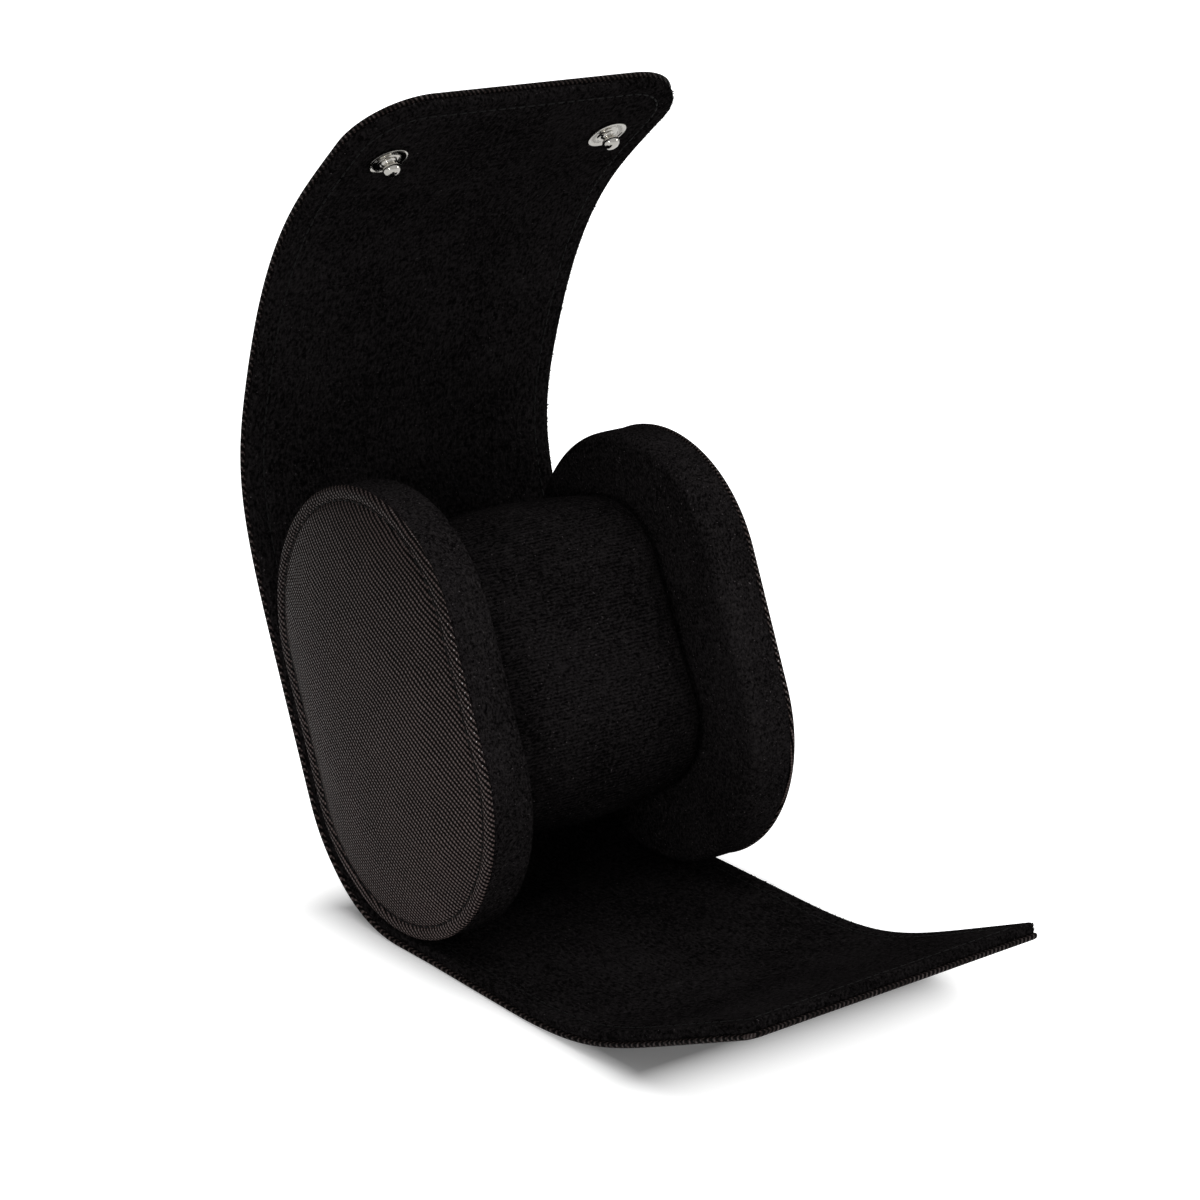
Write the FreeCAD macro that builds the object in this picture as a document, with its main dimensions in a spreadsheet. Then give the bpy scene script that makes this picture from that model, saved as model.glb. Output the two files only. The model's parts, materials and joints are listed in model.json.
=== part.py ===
import FreeCAD, Part
import math
import os
import Sketcher
from FreeCAD import Placement, Rotation, Vector

# A watch roll, standing open on a table.
# Two padded end caps lean back and hold a cushion between them. One wrap of leather, board and
# suede lining is sewn round the back and the underside of the caps. Its free ends, the top flap
# and the front flap, bend at creases, close round the caps and snap together.
# X runs across the roll, -Y is the front, Z is up, and Z = 0 is the table below the caps.

# Driving sizes in millimetres and degrees. Each becomes a named cell of the sheet.
SIZES = {
    # End caps: a stadium outline, leaning back, with a padded leather face on the outside.
    "cap_height": 92.0,
    "cap_width": 63.0,
    "cap_lean": 23.0,
    "bay_width": 54.4,
    "cap_depth": 10.0,
    "cap_lining": 1.0,
    "cap_band": 1.2,
    "cap_leather": 1.2,
    "dome_margin": 4.5,
    "dome_rise": 4.8,
    # Wrap: its layers, its fit round the caps and the open gap at each crease.
    "wrap_width": 76.0,
    "wrap_leather": 1.2,
    "wrap_board": 1.0,
    "wrap_lining": 1.0,
    "lining_inset": 0.8,
    "wrap_fit": 0.3,
    "crease_gap": 0.6,
    # Back of the wrap: its run past the caps at both ends and the heel that it stands on.
    "back_run": 10.5,
    "front_run": 10.0,
    "heel_turn": 44.0,
    "heel_radius": 8.0,
    "top_corner": 15.0,
    "front_corner": 3.0,
    # Cushion: a crowned block that is drawn in towards both ends.
    "cushion_height": 69.0,
    "cushion_depth": 41.0,
    "cushion_lift": 2.0,
    "cushion_fit": 0.3,
    "cushion_cover": 1.0,
    "cushion_end_draw": 2.6,
    # Press studs on the top flap.
    "snap_spread": 52.8,
    "stud_inset": 19.0,
    "stud_flange": 9.6,
    "stud_flange_height": 0.5,
    "stud_ring": 0.35,
    "stud_neck": 2.8,
    "stud_ball": 4.2,
    "stud_reach": 4.0,
    # Sockets on the front flap, and the washers that hold both.
    "socket_inset": 26.2,
    "socket_flange": 9.6,
    "socket_height": 1.2,
    "socket_bore": 4.8,
    "socket_cup": 6.2,
    "cup_floor": 0.3,
    "washer_width": 8.4,
    "snap_fit": 0.1,
    # Overrun of every cutting tool past the face that it cuts.
    "overrun": 1.0,
}
# Panels of the two flaps between creases: length along the lining and turn towards the inside.
PANELS = {
    "top": ((19.5, 7.5), (19.5, 30.0), (19.5, 4.0), (19.5, 12.5), (19.5, 18.5), (30.5, 0.0)),
    "front": ((20.0, 0.0), (20.0, 0.0), (20.0, 23.0), (20.0, 0.0), (20.0, 0.0)),
}
CLOCKWISE = -1
ANTICLOCKWISE = 1
# How near two places must be to count as one.
NEAR = 1e-6

doc = FreeCAD.newDocument("watch_roll")
dims = doc.addObject("Spreadsheet::Sheet", "dims")
for flap, panels in PANELS.items():
    for number, (length, turn) in enumerate(panels, start=1):
        SIZES[f"{flap}_length_{number}"] = length
        SIZES[f"{flap}_turn_{number}"] = turn
for row, (name, size) in enumerate(SIZES.items(), start=1):
    dims.set(f"A{row}", name)
    dims.set(f"B{row}", str(size))
    dims.setAlias(f"B{row}", name)
doc.recompute()
pieces = []


def amount(expression):
    """The number that an expression in the sheet's names comes to."""
    return float(dims.evalExpression(expression))


def bind(thing, **expressions):
    """Tie properties of a thing to expressions in the sheet's names."""
    for name, expression in expressions.items():
        thing.setExpression(name, expression)
    return thing


def keep(thing, label):
    """Name a finished piece and list it for writing."""
    thing.Label = label
    pieces.append(thing)
    return thing


def fuse(name, shapes):
    """One solid from several that meet."""
    joined = doc.addObject("Part::MultiFuse", name)
    joined.Shapes = shapes
    joined.Refine = True
    return joined


def cut(name, base, tool):
    """A solid less a tool."""
    less = doc.addObject("Part::Cut", name)
    less.Base = base
    less.Tool = tool
    return less


def cylinder(name, place, radius, height, base="0", angle="360"):
    """A round bar, or a slice of one, along the z axis of a place."""
    bar = doc.addObject("Part::Cylinder", name)
    bind(bar, Radius=radius, Height=height, Angle=angle)
    bar.Placement = place.multiply(Placement(Vector(0, 0, amount(base)), Rotation()))
    return bar


# Sizes that several pieces share, as expressions.
CAP_RADIUS = "dims.cap_width / 2"
CAP_STRAIGHT = "(dims.cap_height - dims.cap_width)"
WRAP_RADIUS = "(dims.cap_width / 2 + dims.wrap_fit)"
WRAP_DEPTH = "(dims.wrap_lining + dims.wrap_board + dims.wrap_leather)"
HEEL_SHARE = "tan(dims.heel_turn / 2)"
CUSHION_STRAIGHT = "(dims.cushion_height - dims.cushion_depth)"
CUSHION_WIDTH = "(dims.bay_width - 2 * dims.cushion_fit)"
SLEEVE_WIDTH = f"({CUSHION_WIDTH} - 2 * dims.cushion_cover)"
CROWN_RADIUS = f"({SLEEVE_WIDTH} ^ 2 / 8 / dims.cushion_end_draw + dims.cushion_end_draw / 2)"

lean = math.radians(amount("dims.cap_lean"))
BACK = Vector(0, math.cos(lean), -math.sin(lean))
UP = Vector(0, math.sin(lean), math.cos(lean))
RIGHT = Vector(1, 0, 0)
LEFT = Vector(-1, 0, 0)
low_centre_height = amount(f"{WRAP_RADIUS} + {WRAP_DEPTH}")
CENTRE = Vector(0, 0, low_centre_height + amount(f"{CAP_STRAIGHT} / 2 * cos(dims.cap_lean)"))


# End caps

def sketch_on(body, name, role, offset="0"):
    """A sketch on one of a body's own planes, moved along the plane's normal."""
    sketch = body.newObject("Sketcher::SketchObject", name)
    plane = [item for item in body.Origin.OriginFeatures if item.Role == role]
    sketch.AttachmentSupport = (plane[0], "")
    sketch.MapMode = "FlatFace"
    sketch.setExpression("AttachmentOffset.Base.z", offset)
    return sketch


def constrain(sketch, kind, *items, expression=None):
    """Add one constraint, tied to an expression where it has a size."""
    if expression is None:
        sketch.addConstraint(Sketcher.Constraint(kind, *items))
        return
    number = sketch.addConstraint(Sketcher.Constraint(kind, *items, amount(expression)))
    sketch.setExpression(f"Constraints[{number}]", expression)


def stadium(sketch, radius, straight):
    """A stadium outline, upright about the sketch's origin: quarter arcs and two straight sides."""
    first = sketch.GeometryCount
    r = amount(radius)
    half = amount(straight) / 2
    for centre, start in ((half, 0), (half, 1), (-half, 2), (-half, 3)):
        circle = Part.Circle(Vector(0, centre, 0), Vector(0, 0, 1), r)
        sketch.addGeometry(Part.ArcOfCircle(circle, start * math.pi / 2, (start + 1) * math.pi / 2))
    sketch.addGeometry(Part.LineSegment(Vector(-r, half, 0), Vector(-r, -half, 0)))
    sketch.addGeometry(Part.LineSegment(Vector(r, -half, 0), Vector(r, half, 0)))
    top_right, top_left, low_left, low_right, left, right = range(first, first + 6)
    for one, other in ((top_right, top_left), (low_left, low_right)):
        constrain(sketch, "Coincident", one, 3, other, 3)
        constrain(sketch, "Coincident", one, 2, other, 1)
        constrain(sketch, "PointOnObject", one, 2, -2)
    constrain(sketch, "Tangent", top_left, 2, left, 1)
    constrain(sketch, "Tangent", left, 2, low_left, 1)
    constrain(sketch, "Tangent", low_right, 2, right, 1)
    constrain(sketch, "Tangent", right, 2, top_right, 1)
    constrain(sketch, "Vertical", left)
    constrain(sketch, "PointOnObject", top_right, 3, -2)
    constrain(sketch, "Symmetric", top_right, 3, low_left, 3, -1, 1)
    constrain(sketch, "Radius", top_right, expression=radius)
    constrain(sketch, "DistanceY", low_left, 3, top_right, 3, expression=straight)


def stadium_pad(label, place, radius, base, height, hole=None, straight=CAP_STRAIGHT):
    """A stadium plate on a place's x-y plane, or a band round one where a hole is given."""
    body = doc.addObject("PartDesign::Body", f"{label}_body")
    outline = sketch_on(body, f"{label}_outline", "XY_Plane", base)
    stadium(outline, radius, straight)
    if hole:
        stadium(outline, hole, straight)
    pad = body.newObject("PartDesign::Pad", f"{label}_pad")
    pad.Profile = outline
    bind(pad, Length=height)
    body.Placement = place
    return keep(body, label)


def section(sketch, corners, sides):
    """A closed outline through named corners, with straight sides, domes on the axis or a crowned side."""
    held = {}
    for low, high, form in sides:
        ends = [Vector(amount(corners[name][0]), amount(corners[name][1]), 0) for name in (low, high)]
        if form == "dome":
            crown = ends[1].y - ends[0].y
            radius = (ends[0].x ** 2 + crown ** 2) / (2 * crown)
            circle = Part.Circle(Vector(0, ends[1].y - radius, 0), Vector(0, 0, 1), radius)
            start = math.atan2(ends[0].y - circle.Center.y, ends[0].x)
            side = sketch.addGeometry(Part.ArcOfCircle(circle, start, math.pi / 2))
            constrain(sketch, "PointOnObject", side, 3, -2)
        elif form == "barrel":
            radius = amount(CROWN_RADIUS)
            reach = math.asin(ends[1].y / radius)
            circle = Part.Circle(Vector(ends[0].x - radius * math.cos(reach), 0, 0), Vector(0, 0, 1), radius)
            side = sketch.addGeometry(Part.ArcOfCircle(circle, -reach, reach))
            constrain(sketch, "Radius", side, expression=CROWN_RADIUS)
        else:
            side = sketch.addGeometry(Part.LineSegment(*ends))
        for end, name in ((1, low), (2, high)):
            if name in held:
                constrain(sketch, "Coincident", side, end, *held[name])
                continue
            held[name] = (side, end)
            across, along = corners[name]
            if across == "0":
                constrain(sketch, "PointOnObject", side, end, -2)
            else:
                constrain(sketch, "DistanceX", -1, 1, side, end, expression=across)
            constrain(sketch, "DistanceY", -1, 1, side, end, expression=along)


def stadium_dome(label, place, corners, sides, straight=CAP_STRAIGHT):
    """A half section run along the straight of a stadium, turned round its end, and repeated opposite."""
    body = doc.addObject("PartDesign::Body", f"{label}_body")
    middle = sketch_on(body, f"{label}_middle", "XZ_Plane")
    section(middle, corners, sides)
    run = body.newObject("PartDesign::Pad", f"{label}_run")
    run.Profile = middle
    run.SideType = "Symmetric"
    bind(run, Length=straight)
    end = sketch_on(body, f"{label}_end", "XZ_Plane", f"{straight} / 2")
    section(end, corners, sides)
    turn = body.newObject("PartDesign::Revolution", f"{label}_turn")
    turn.Profile = end
    turn.ReferenceAxis = (end, ["V_Axis"])
    turn.Angle = 180
    turn.Reversed = True
    opposite = body.newObject("PartDesign::PolarPattern", f"{label}_opposite")
    opposite.Originals = [run, turn]
    axis = [item for item in body.Origin.OriginFeatures if item.Role == "Z_Axis"]
    opposite.Axis = (axis[0], [""])
    opposite.Angle = 360
    opposite.Occurrences = 2
    body.Tip = opposite
    body.Placement = place
    return keep(body, label)


DOME_RADIUS = "dims.cap_width / 2 - dims.dome_margin"
CORE_RADIUS = "dims.cap_width / 2 - dims.cap_band"
RIM = "dims.cap_depth - dims.cap_leather"
CROWN = "dims.cap_depth + dims.dome_rise"
COVER_CORNERS = {
    "axis_in": ("0", f"{CROWN} - dims.cap_leather"),
    "axis_out": ("0", CROWN),
    "foot_out": (DOME_RADIUS, "dims.cap_depth"),
    "edge_out": (CAP_RADIUS, "dims.cap_depth"),
    "edge_in": (CAP_RADIUS, RIM),
    "foot_in": (DOME_RADIUS, RIM),
    "axis_rim": ("0", RIM),
}
COVER_SIDES = (
    ("axis_in", "axis_out", "line"),
    ("foot_out", "axis_out", "dome"),
    ("foot_out", "edge_out", "line"),
    ("edge_out", "edge_in", "line"),
    ("edge_in", "foot_in", "line"),
    ("foot_in", "axis_in", "dome"),
)
PAD_SIDES = (
    ("foot_in", "axis_in", "dome"),
    ("axis_in", "axis_rim", "line"),
    ("axis_rim", "foot_in", "line"),
)


def end_cap(side, outward):
    """One end cap, from its suede face in the bay to its padded leather face outside."""
    across = UP.cross(outward)
    turn = Rotation(across, UP, outward, "ZYX")
    place = Placement(CENTRE + outward * amount("dims.bay_width / 2"), turn)
    board = f"{RIM} - dims.cap_lining"
    stadium_pad(f"{side}_cap_lining", place, CORE_RADIUS, "0", "dims.cap_lining")
    stadium_pad(f"{side}_cap_board", place, CORE_RADIUS, "dims.cap_lining", board)
    stadium_pad(f"{side}_cap_band", place, CAP_RADIUS, "0", RIM, CORE_RADIUS)
    stadium_dome(f"{side}_cap_pad", place, COVER_CORNERS, PAD_SIDES)
    stadium_dome(f"{side}_cap_leather", place, COVER_CORNERS, COVER_SIDES)


end_cap("left", LEFT)
end_cap("right", RIGHT)


# Cushion

cushion_place = Placement(CENTRE + UP * amount("dims.cushion_lift"), Rotation(BACK, UP, RIGHT, "ZYX"))
CUSHION_END = "dims.cushion_depth / 2 - dims.cushion_end_draw"
FILLING_END = f"{CUSHION_END} - dims.cushion_cover"
SLEEVE_CORNERS = {
    "low_out": (CUSHION_END, f"-{SLEEVE_WIDTH} / 2"),
    "high_out": (CUSHION_END, f"{SLEEVE_WIDTH} / 2"),
    "high_in": (FILLING_END, f"{SLEEVE_WIDTH} / 2"),
    "low_in": (FILLING_END, f"-{SLEEVE_WIDTH} / 2"),
    "high_axis": ("0", f"{SLEEVE_WIDTH} / 2"),
    "low_axis": ("0", f"-{SLEEVE_WIDTH} / 2"),
}
SLEEVE_SIDES = (
    ("low_out", "high_out", "barrel"),
    ("high_out", "high_in", "line"),
    ("low_in", "high_in", "barrel"),
    ("low_in", "low_out", "line"),
)
FILLING_SIDES = (
    ("low_in", "high_in", "barrel"),
    ("high_in", "high_axis", "line"),
    ("high_axis", "low_axis", "line"),
    ("low_axis", "low_in", "line"),
)
stadium_dome("cushion_cover", cushion_place, SLEEVE_CORNERS, SLEEVE_SIDES, CUSHION_STRAIGHT)
stadium_dome("cushion_core", cushion_place, SLEEVE_CORNERS, FILLING_SIDES, CUSHION_STRAIGHT)
for side, base in (("left", f"-{CUSHION_WIDTH} / 2"), ("right", f"{SLEEVE_WIDTH} / 2")):
    label = f"cushion_end_{side}"
    stadium_pad(label, cushion_place, CUSHION_END, base, "dims.cushion_cover", straight=CUSHION_STRAIGHT)


# Wrap

# Each layer: where it starts above the lining's face, its thickness and its width.
LAYERS = {
    "lining": ("0", "dims.wrap_lining", "(dims.wrap_width - 2 * dims.lining_inset)"),
    "board": ("dims.wrap_lining", "dims.wrap_board", "(dims.wrap_width - 2 * dims.lining_inset)"),
    "leather": ("(dims.wrap_lining + dims.wrap_board)", "dims.wrap_leather", "dims.wrap_width"),
}
HALF_GAP = "dims.crease_gap / 2"


def advance(spot, length, turn, way):
    """The spot reached along the lining's face over a length that bends by a turn in degrees."""
    y, z, heading = spot
    bend = math.radians(turn) * way
    chord = length
    if bend:
        chord = 2 * length / bend * math.sin(bend / 2)
    middle = heading + bend / 2
    return (y + chord * math.cos(middle), z + chord * math.sin(middle), heading + bend)


def setting(spot, way):
    """Place at a spot: x out through the leather, y along the wrap, z across it."""
    y, z, heading = spot
    along = Vector(0, math.cos(heading), math.sin(heading))
    across = Vector(way, 0, 0)
    return Placement(Vector(0, y, z), Rotation(along.cross(across), along, across, "ZYX"))


def shifted(place, x, z):
    """A place moved along its own x and z axes."""
    return place.multiply(Placement(Vector(x, 0, z), Rotation()))


def stretch(name, spot, way, length, turn, lead, tail, layer):
    """One layer of a stretch of the wrap: a plate where straight, a slice of a tube where it bends."""
    low, thick, width = LAYERS[layer]
    run = f"({length} - {lead} - {tail})"
    bend = amount(turn)
    begin = advance(spot, amount(lead), bend * amount(f"{lead} / ({length})"), way)
    place = setting(begin, way)
    half_width = amount(width) / 2
    if not bend:
        plate = doc.addObject("Part::Box", name)
        bind(plate, Length=thick, Width=run, Height=width)
        plate.Placement = shifted(place, amount(low), -half_width)
        return plate
    radius = f"({length}) * 180 / (pi * {turn})"
    angle = f"{turn} * {run} / ({length})"
    axis = shifted(place, -amount(radius), -half_width)
    outside = cylinder(f"{name}_outside", axis, f"{radius} + {low} + {thick}", width, angle=angle)
    through = f"{width} + 2 * dims.overrun"
    inside = cylinder(f"{name}_inside", axis, f"{radius} + {low}", through, "-dims.overrun")
    return cut(f"{name}_slice", outside, inside)


def rounded(name, plate, spot, radius):
    """A tip panel with its two outer corners rounded: the short edges nearest to the tip."""
    doc.recompute()
    tip = Vector(0, spot[0], spot[1])
    along = Vector(0, math.cos(spot[2]), math.sin(spot[2]))
    half = max(abs(vertex.X) for vertex in plate.Shape.Vertexes)
    corners = []
    for number, edge in enumerate(plate.Shape.Edges, start=1):
        middle = edge.CenterOfMass
        at_side = math.isclose(abs(middle.x), half, abs_tol=NEAR)
        at_tip = math.isclose((middle - tip).dot(along), 0, abs_tol=NEAR)
        if at_side and at_tip:
            corners.append((number, radius, radius))
    fillet = doc.addObject("Part::Fillet", name)
    fillet.Base = plate
    fillet.Edges = corners
    return fillet


# The back of the wrap, from the top flap's first crease down to the front flap's first crease.
LOW_TURN = "(90 - dims.cap_lean - dims.heel_turn)"
BACK_STRETCHES = (
    ("rise", f"({CAP_STRAIGHT} + dims.back_run)", "0", HALF_GAP, "0"),
    ("bend", f"({WRAP_RADIUS} * {LOW_TURN} * pi / 180)", LOW_TURN, "0", "0"),
    ("slope", f"(({WRAP_RADIUS} - dims.heel_radius) * {HEEL_SHARE})", "0", "0", "0"),
    ("heel", "(dims.heel_radius * dims.heel_turn * pi / 180)", "dims.heel_turn", "0", "0"),
    ("base", f"(({WRAP_RADIUS} - dims.heel_radius) * {HEEL_SHARE} + dims.front_run)", "0", "0", HALF_GAP),
)
back_top = CENTRE + BACK * amount(WRAP_RADIUS) + UP * amount(f"{CAP_STRAIGHT} / 2 + dims.back_run")
top_start = (back_top.y, back_top.z, math.pi / 2 - lean)
back_start = (back_top.y, back_top.z, -math.pi / 2 - lean)

for layer in LAYERS:
    spot = back_start
    spans = []
    for name, length, turn, lead, tail in BACK_STRETCHES:
        spans.append(stretch(f"back_{layer}_{name}", spot, CLOCKWISE, length, turn, lead, tail, layer))
        spot = advance(spot, amount(length), amount(turn), CLOCKWISE)
    keep(fuse(f"back_{layer}_layer", spans), f"back_{layer}")
front_start = spot


def panel_spots(flap, start, way):
    """The spot where each panel of a flap starts, and the spot at its tip."""
    spots = [start]
    for number in range(1, len(PANELS[flap]) + 1):
        length = amount(f"dims.{flap}_length_{number}")
        turn = amount(f"dims.{flap}_turn_{number}")
        spots.append(advance(spots[-1], length, turn, way))
    return spots


# Press studs and sockets

def snap_places(start, way, length, turn, along, out):
    """Places of the left and right snap on a panel, with z pointing out of the given face."""
    share = along / amount(length)
    y, z, heading = advance(start, along, amount(turn) * share, way)
    normal = Vector(0, math.sin(heading), -math.cos(heading)) * way
    if out == "lining":
        face = Vector(0, y, z)
        normal = -normal
    else:
        face = Vector(0, y, z) + normal * amount(WRAP_DEPTH)
    turned = Rotation(RIGHT, normal.cross(RIGHT), normal, "ZXY")
    half = amount("dims.snap_spread / 2")
    return {"left": Placement(face + LEFT * half, turned), "right": Placement(face + RIGHT * half, turned)}


top_spots = panel_spots("top", top_start, ANTICLOCKWISE)
front_spots = panel_spots("front", front_start, CLOCKWISE)
stud_panel = len(PANELS["top"])
socket_panel = len(PANELS["front"]) - 1
stud_length = f"dims.top_length_{stud_panel}"
stud_places = snap_places(
    top_spots[stud_panel - 1],
    ANTICLOCKWISE,
    stud_length,
    f"dims.top_turn_{stud_panel}",
    amount(f"{stud_length} - dims.stud_inset"),
    "lining",
)
socket_length = f"dims.front_length_{socket_panel}"
socket_places = snap_places(
    front_spots[socket_panel - 1],
    CLOCKWISE,
    socket_length,
    f"dims.front_turn_{socket_panel}",
    amount(f"{socket_length} + dims.front_length_{socket_panel + 1} - dims.socket_inset"),
    "leather",
)
STUD_DEPTH = "(dims.wrap_lining + dims.wrap_board)"
SOCKET_DEPTH = "(dims.wrap_leather + dims.wrap_board)"
WASHER_SEAT = "dims.washer_width / 2 + dims.snap_fit"
# How far a flange's wall lies inside its rim's outer edge, as a share of the rim's wire.
RIM_SEAT_SHARE = 1.5
# What each snap takes out of a layer: the radius of the hole and where the layer lies below the face.
HOLES = {
    ("top", stud_panel, "lining"): ("dims.stud_neck / 2 + dims.snap_fit", "dims.wrap_lining", "0"),
    ("top", stud_panel, "board"): (WASHER_SEAT, "dims.wrap_board", "dims.wrap_lining"),
    ("front", socket_panel, "leather"): ("dims.socket_cup / 2 + dims.snap_fit", "dims.wrap_leather", "0"),
    ("front", socket_panel, "board"): (WASHER_SEAT, "dims.wrap_board", "dims.wrap_leather"),
}


def pierced(plate, key, places):
    """A panel's layer with the holes of its two snaps."""
    radius, thick, above = HOLES[key]
    for side, place in places.items():
        name = "_".join(str(part) for part in key) + f"_{side}"
        bottom = f"-{above} - {thick} - dims.overrun"
        drill = cylinder(f"{name}_drill", place, radius, f"{thick} + 2 * dims.overrun", bottom)
        plate = cut(f"{name}_pierced", plate, drill)
    return plate


def flap_panels(flap, spots, way, places, corner):
    """All panels of a flap, layer by layer, with holes for its snaps and round corners at its tip."""
    last = len(PANELS[flap])
    for number in range(1, last + 1):
        length = f"dims.{flap}_length_{number}"
        turn = f"dims.{flap}_turn_{number}"
        tail = HALF_GAP if number < last else "0"
        for layer in LAYERS:
            name = f"{flap}_{layer}_{number}"
            plate = stretch(f"{name}_plate", spots[number - 1], way, length, turn, HALF_GAP, tail, layer)
            if number == last:
                plate = rounded(f"{name}_rounded", plate, spots[last], amount(corner))
            if (flap, number, layer) in HOLES:
                plate = pierced(plate, (flap, number, layer), places)
            keep(plate, name)


flap_panels("top", top_spots, ANTICLOCKWISE, stud_places, "dims.top_corner")
flap_panels("front", front_spots, CLOCKWISE, socket_places, "dims.front_corner")


def ball(name, place, radius, height):
    """A ball with its centre at a height along the z axis of a place."""
    sphere = doc.addObject("Part::Sphere", name)
    bind(sphere, Radius=radius)
    sphere.Placement = shifted(place, 0, amount(height))
    return sphere


def ring(name, place, width, wire, height):
    """A round wire ring of an outer width, with its wire's centre at a height."""
    torus = doc.addObject("Part::Torus", name)
    bind(torus, Radius1=f"({width}) / 2 - {wire}", Radius2=wire)
    torus.Placement = shifted(place, 0, amount(height))
    return torus


def washer(label, place, hole, above):
    """A flat ring in the board, round a snap's shank."""
    base = f"-{above} - dims.wrap_board"
    disc = cylinder(f"{label}_disc", place, "dims.washer_width / 2", "dims.wrap_board", base)
    tall = "dims.wrap_board + 2 * dims.overrun"
    bore = cylinder(f"{label}_bore", place, f"{hole} / 2 + dims.snap_fit", tall, f"{base} - dims.overrun")
    keep(cut(f"{label}_ring", disc, bore), label)


for side, place in stud_places.items():
    shank = f"{STUD_DEPTH} + dims.stud_reach - dims.stud_ball / 2"
    flange = f"dims.stud_flange / 2 - {RIM_SEAT_SHARE} * dims.stud_ring"
    parts = [
        cylinder(f"stud_{side}_shank", place, "dims.stud_neck / 2", shank, f"-{STUD_DEPTH}"),
        cylinder(f"stud_{side}_flange", place, flange, "dims.stud_flange_height"),
        ring(f"stud_{side}_rim", place, "dims.stud_flange", "dims.stud_ring", "dims.stud_ring"),
        ball(f"stud_{side}_ball", place, "dims.stud_ball / 2", "dims.stud_reach - dims.stud_ball / 2"),
    ]
    keep(fuse(f"stud_{side}_fused", parts), f"stud_{side}")
    washer(f"stud_washer_{side}", place, "dims.stud_neck", "dims.wrap_lining")

for side, place in socket_places.items():
    flange = f"dims.socket_flange / 2 - {RIM_SEAT_SHARE} * dims.stud_ring"
    cup_depth = f"{SOCKET_DEPTH} + dims.stud_ring"
    lip = "dims.socket_height - dims.stud_ring"
    parts = [
        cylinder(f"socket_{side}_cup", place, "dims.socket_cup / 2", cup_depth, f"-{SOCKET_DEPTH}"),
        cylinder(f"socket_{side}_flange", place, flange, lip),
        ring(f"socket_{side}_rim", place, "dims.socket_flange", "dims.stud_ring", "dims.stud_ring"),
        ring(f"socket_{side}_lip", place, "dims.socket_cup + dims.stud_ring", "dims.stud_ring", lip),
    ]
    depth = f"{SOCKET_DEPTH} - dims.cup_floor"
    tall = f"{depth} + dims.socket_height + dims.overrun"
    bore = cylinder(f"socket_{side}_bore", place, "dims.socket_bore / 2", tall, f"-({depth})")
    keep(cut(f"socket_{side}_bored", fuse(f"socket_{side}_fused", parts), bore), f"socket_{side}")
    washer(f"socket_washer_{side}", place, "dims.socket_cup", "dims.wrap_leather")


# Build, test and write every piece.
doc.recompute()
for thing in doc.Objects:
    if "Invalid" in thing.State or "Error" in thing.State:
        raise RuntimeError(f"{thing.Label} failed: {thing.State}")
os.makedirs("parts", exist_ok=True)
for piece in pieces:
    shape = piece.Shape
    if shape.isNull() or not shape.isValid() or len(shape.Solids) != 1 or shape.Volume <= 0:
        raise RuntimeError(f"{piece.Label} is not one sound solid")
for piece in pieces:
    piece.Shape.exportStep(f"parts/{piece.Label}.step")
print(f"wrote {len(pieces)} pieces")
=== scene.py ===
"""Leather, suede, stitches and snaps of a watch roll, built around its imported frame."""

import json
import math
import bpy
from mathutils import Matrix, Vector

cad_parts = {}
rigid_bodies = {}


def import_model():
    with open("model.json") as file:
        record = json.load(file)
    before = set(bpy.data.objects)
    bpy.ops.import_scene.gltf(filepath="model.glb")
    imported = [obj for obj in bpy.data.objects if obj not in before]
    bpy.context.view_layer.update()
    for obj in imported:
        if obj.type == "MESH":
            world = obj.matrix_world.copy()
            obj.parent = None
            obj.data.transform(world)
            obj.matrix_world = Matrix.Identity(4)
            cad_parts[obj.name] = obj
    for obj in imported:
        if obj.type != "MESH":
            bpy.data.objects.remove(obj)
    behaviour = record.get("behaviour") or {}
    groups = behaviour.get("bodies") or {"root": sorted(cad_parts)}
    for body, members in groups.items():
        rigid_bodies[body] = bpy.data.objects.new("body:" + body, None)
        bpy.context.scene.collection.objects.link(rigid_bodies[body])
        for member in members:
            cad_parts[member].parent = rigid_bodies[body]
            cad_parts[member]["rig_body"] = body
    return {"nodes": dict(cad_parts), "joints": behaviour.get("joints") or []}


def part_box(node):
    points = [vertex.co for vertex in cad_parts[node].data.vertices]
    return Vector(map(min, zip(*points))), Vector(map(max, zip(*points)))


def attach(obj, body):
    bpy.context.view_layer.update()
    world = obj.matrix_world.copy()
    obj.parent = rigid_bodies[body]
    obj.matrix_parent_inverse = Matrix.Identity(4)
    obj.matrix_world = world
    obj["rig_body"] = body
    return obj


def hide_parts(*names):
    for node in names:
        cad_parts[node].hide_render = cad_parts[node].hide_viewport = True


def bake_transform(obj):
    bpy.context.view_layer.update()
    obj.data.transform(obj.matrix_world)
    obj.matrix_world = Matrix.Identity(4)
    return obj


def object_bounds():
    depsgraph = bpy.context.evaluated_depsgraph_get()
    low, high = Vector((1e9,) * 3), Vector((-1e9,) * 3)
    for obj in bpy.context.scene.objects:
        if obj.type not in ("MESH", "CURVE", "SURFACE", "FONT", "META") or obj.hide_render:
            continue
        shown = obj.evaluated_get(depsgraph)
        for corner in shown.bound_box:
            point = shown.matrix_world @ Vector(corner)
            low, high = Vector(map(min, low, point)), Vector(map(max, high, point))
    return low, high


bl_info = {
    "name": "Watch roll",
    "version": (1, 0, 0),
    "blender": (4, 5, 0),
    "location": "View3D > Sidebar > Watch roll",
    "description": "Builds the leather, suede, stitching and snaps of a watch roll",
    "category": "Object",
}

import bpy
import numpy as np
from bpy.props import FloatProperty, FloatVectorProperty, IntProperty, PointerProperty
from mathutils import Matrix, Vector

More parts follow.
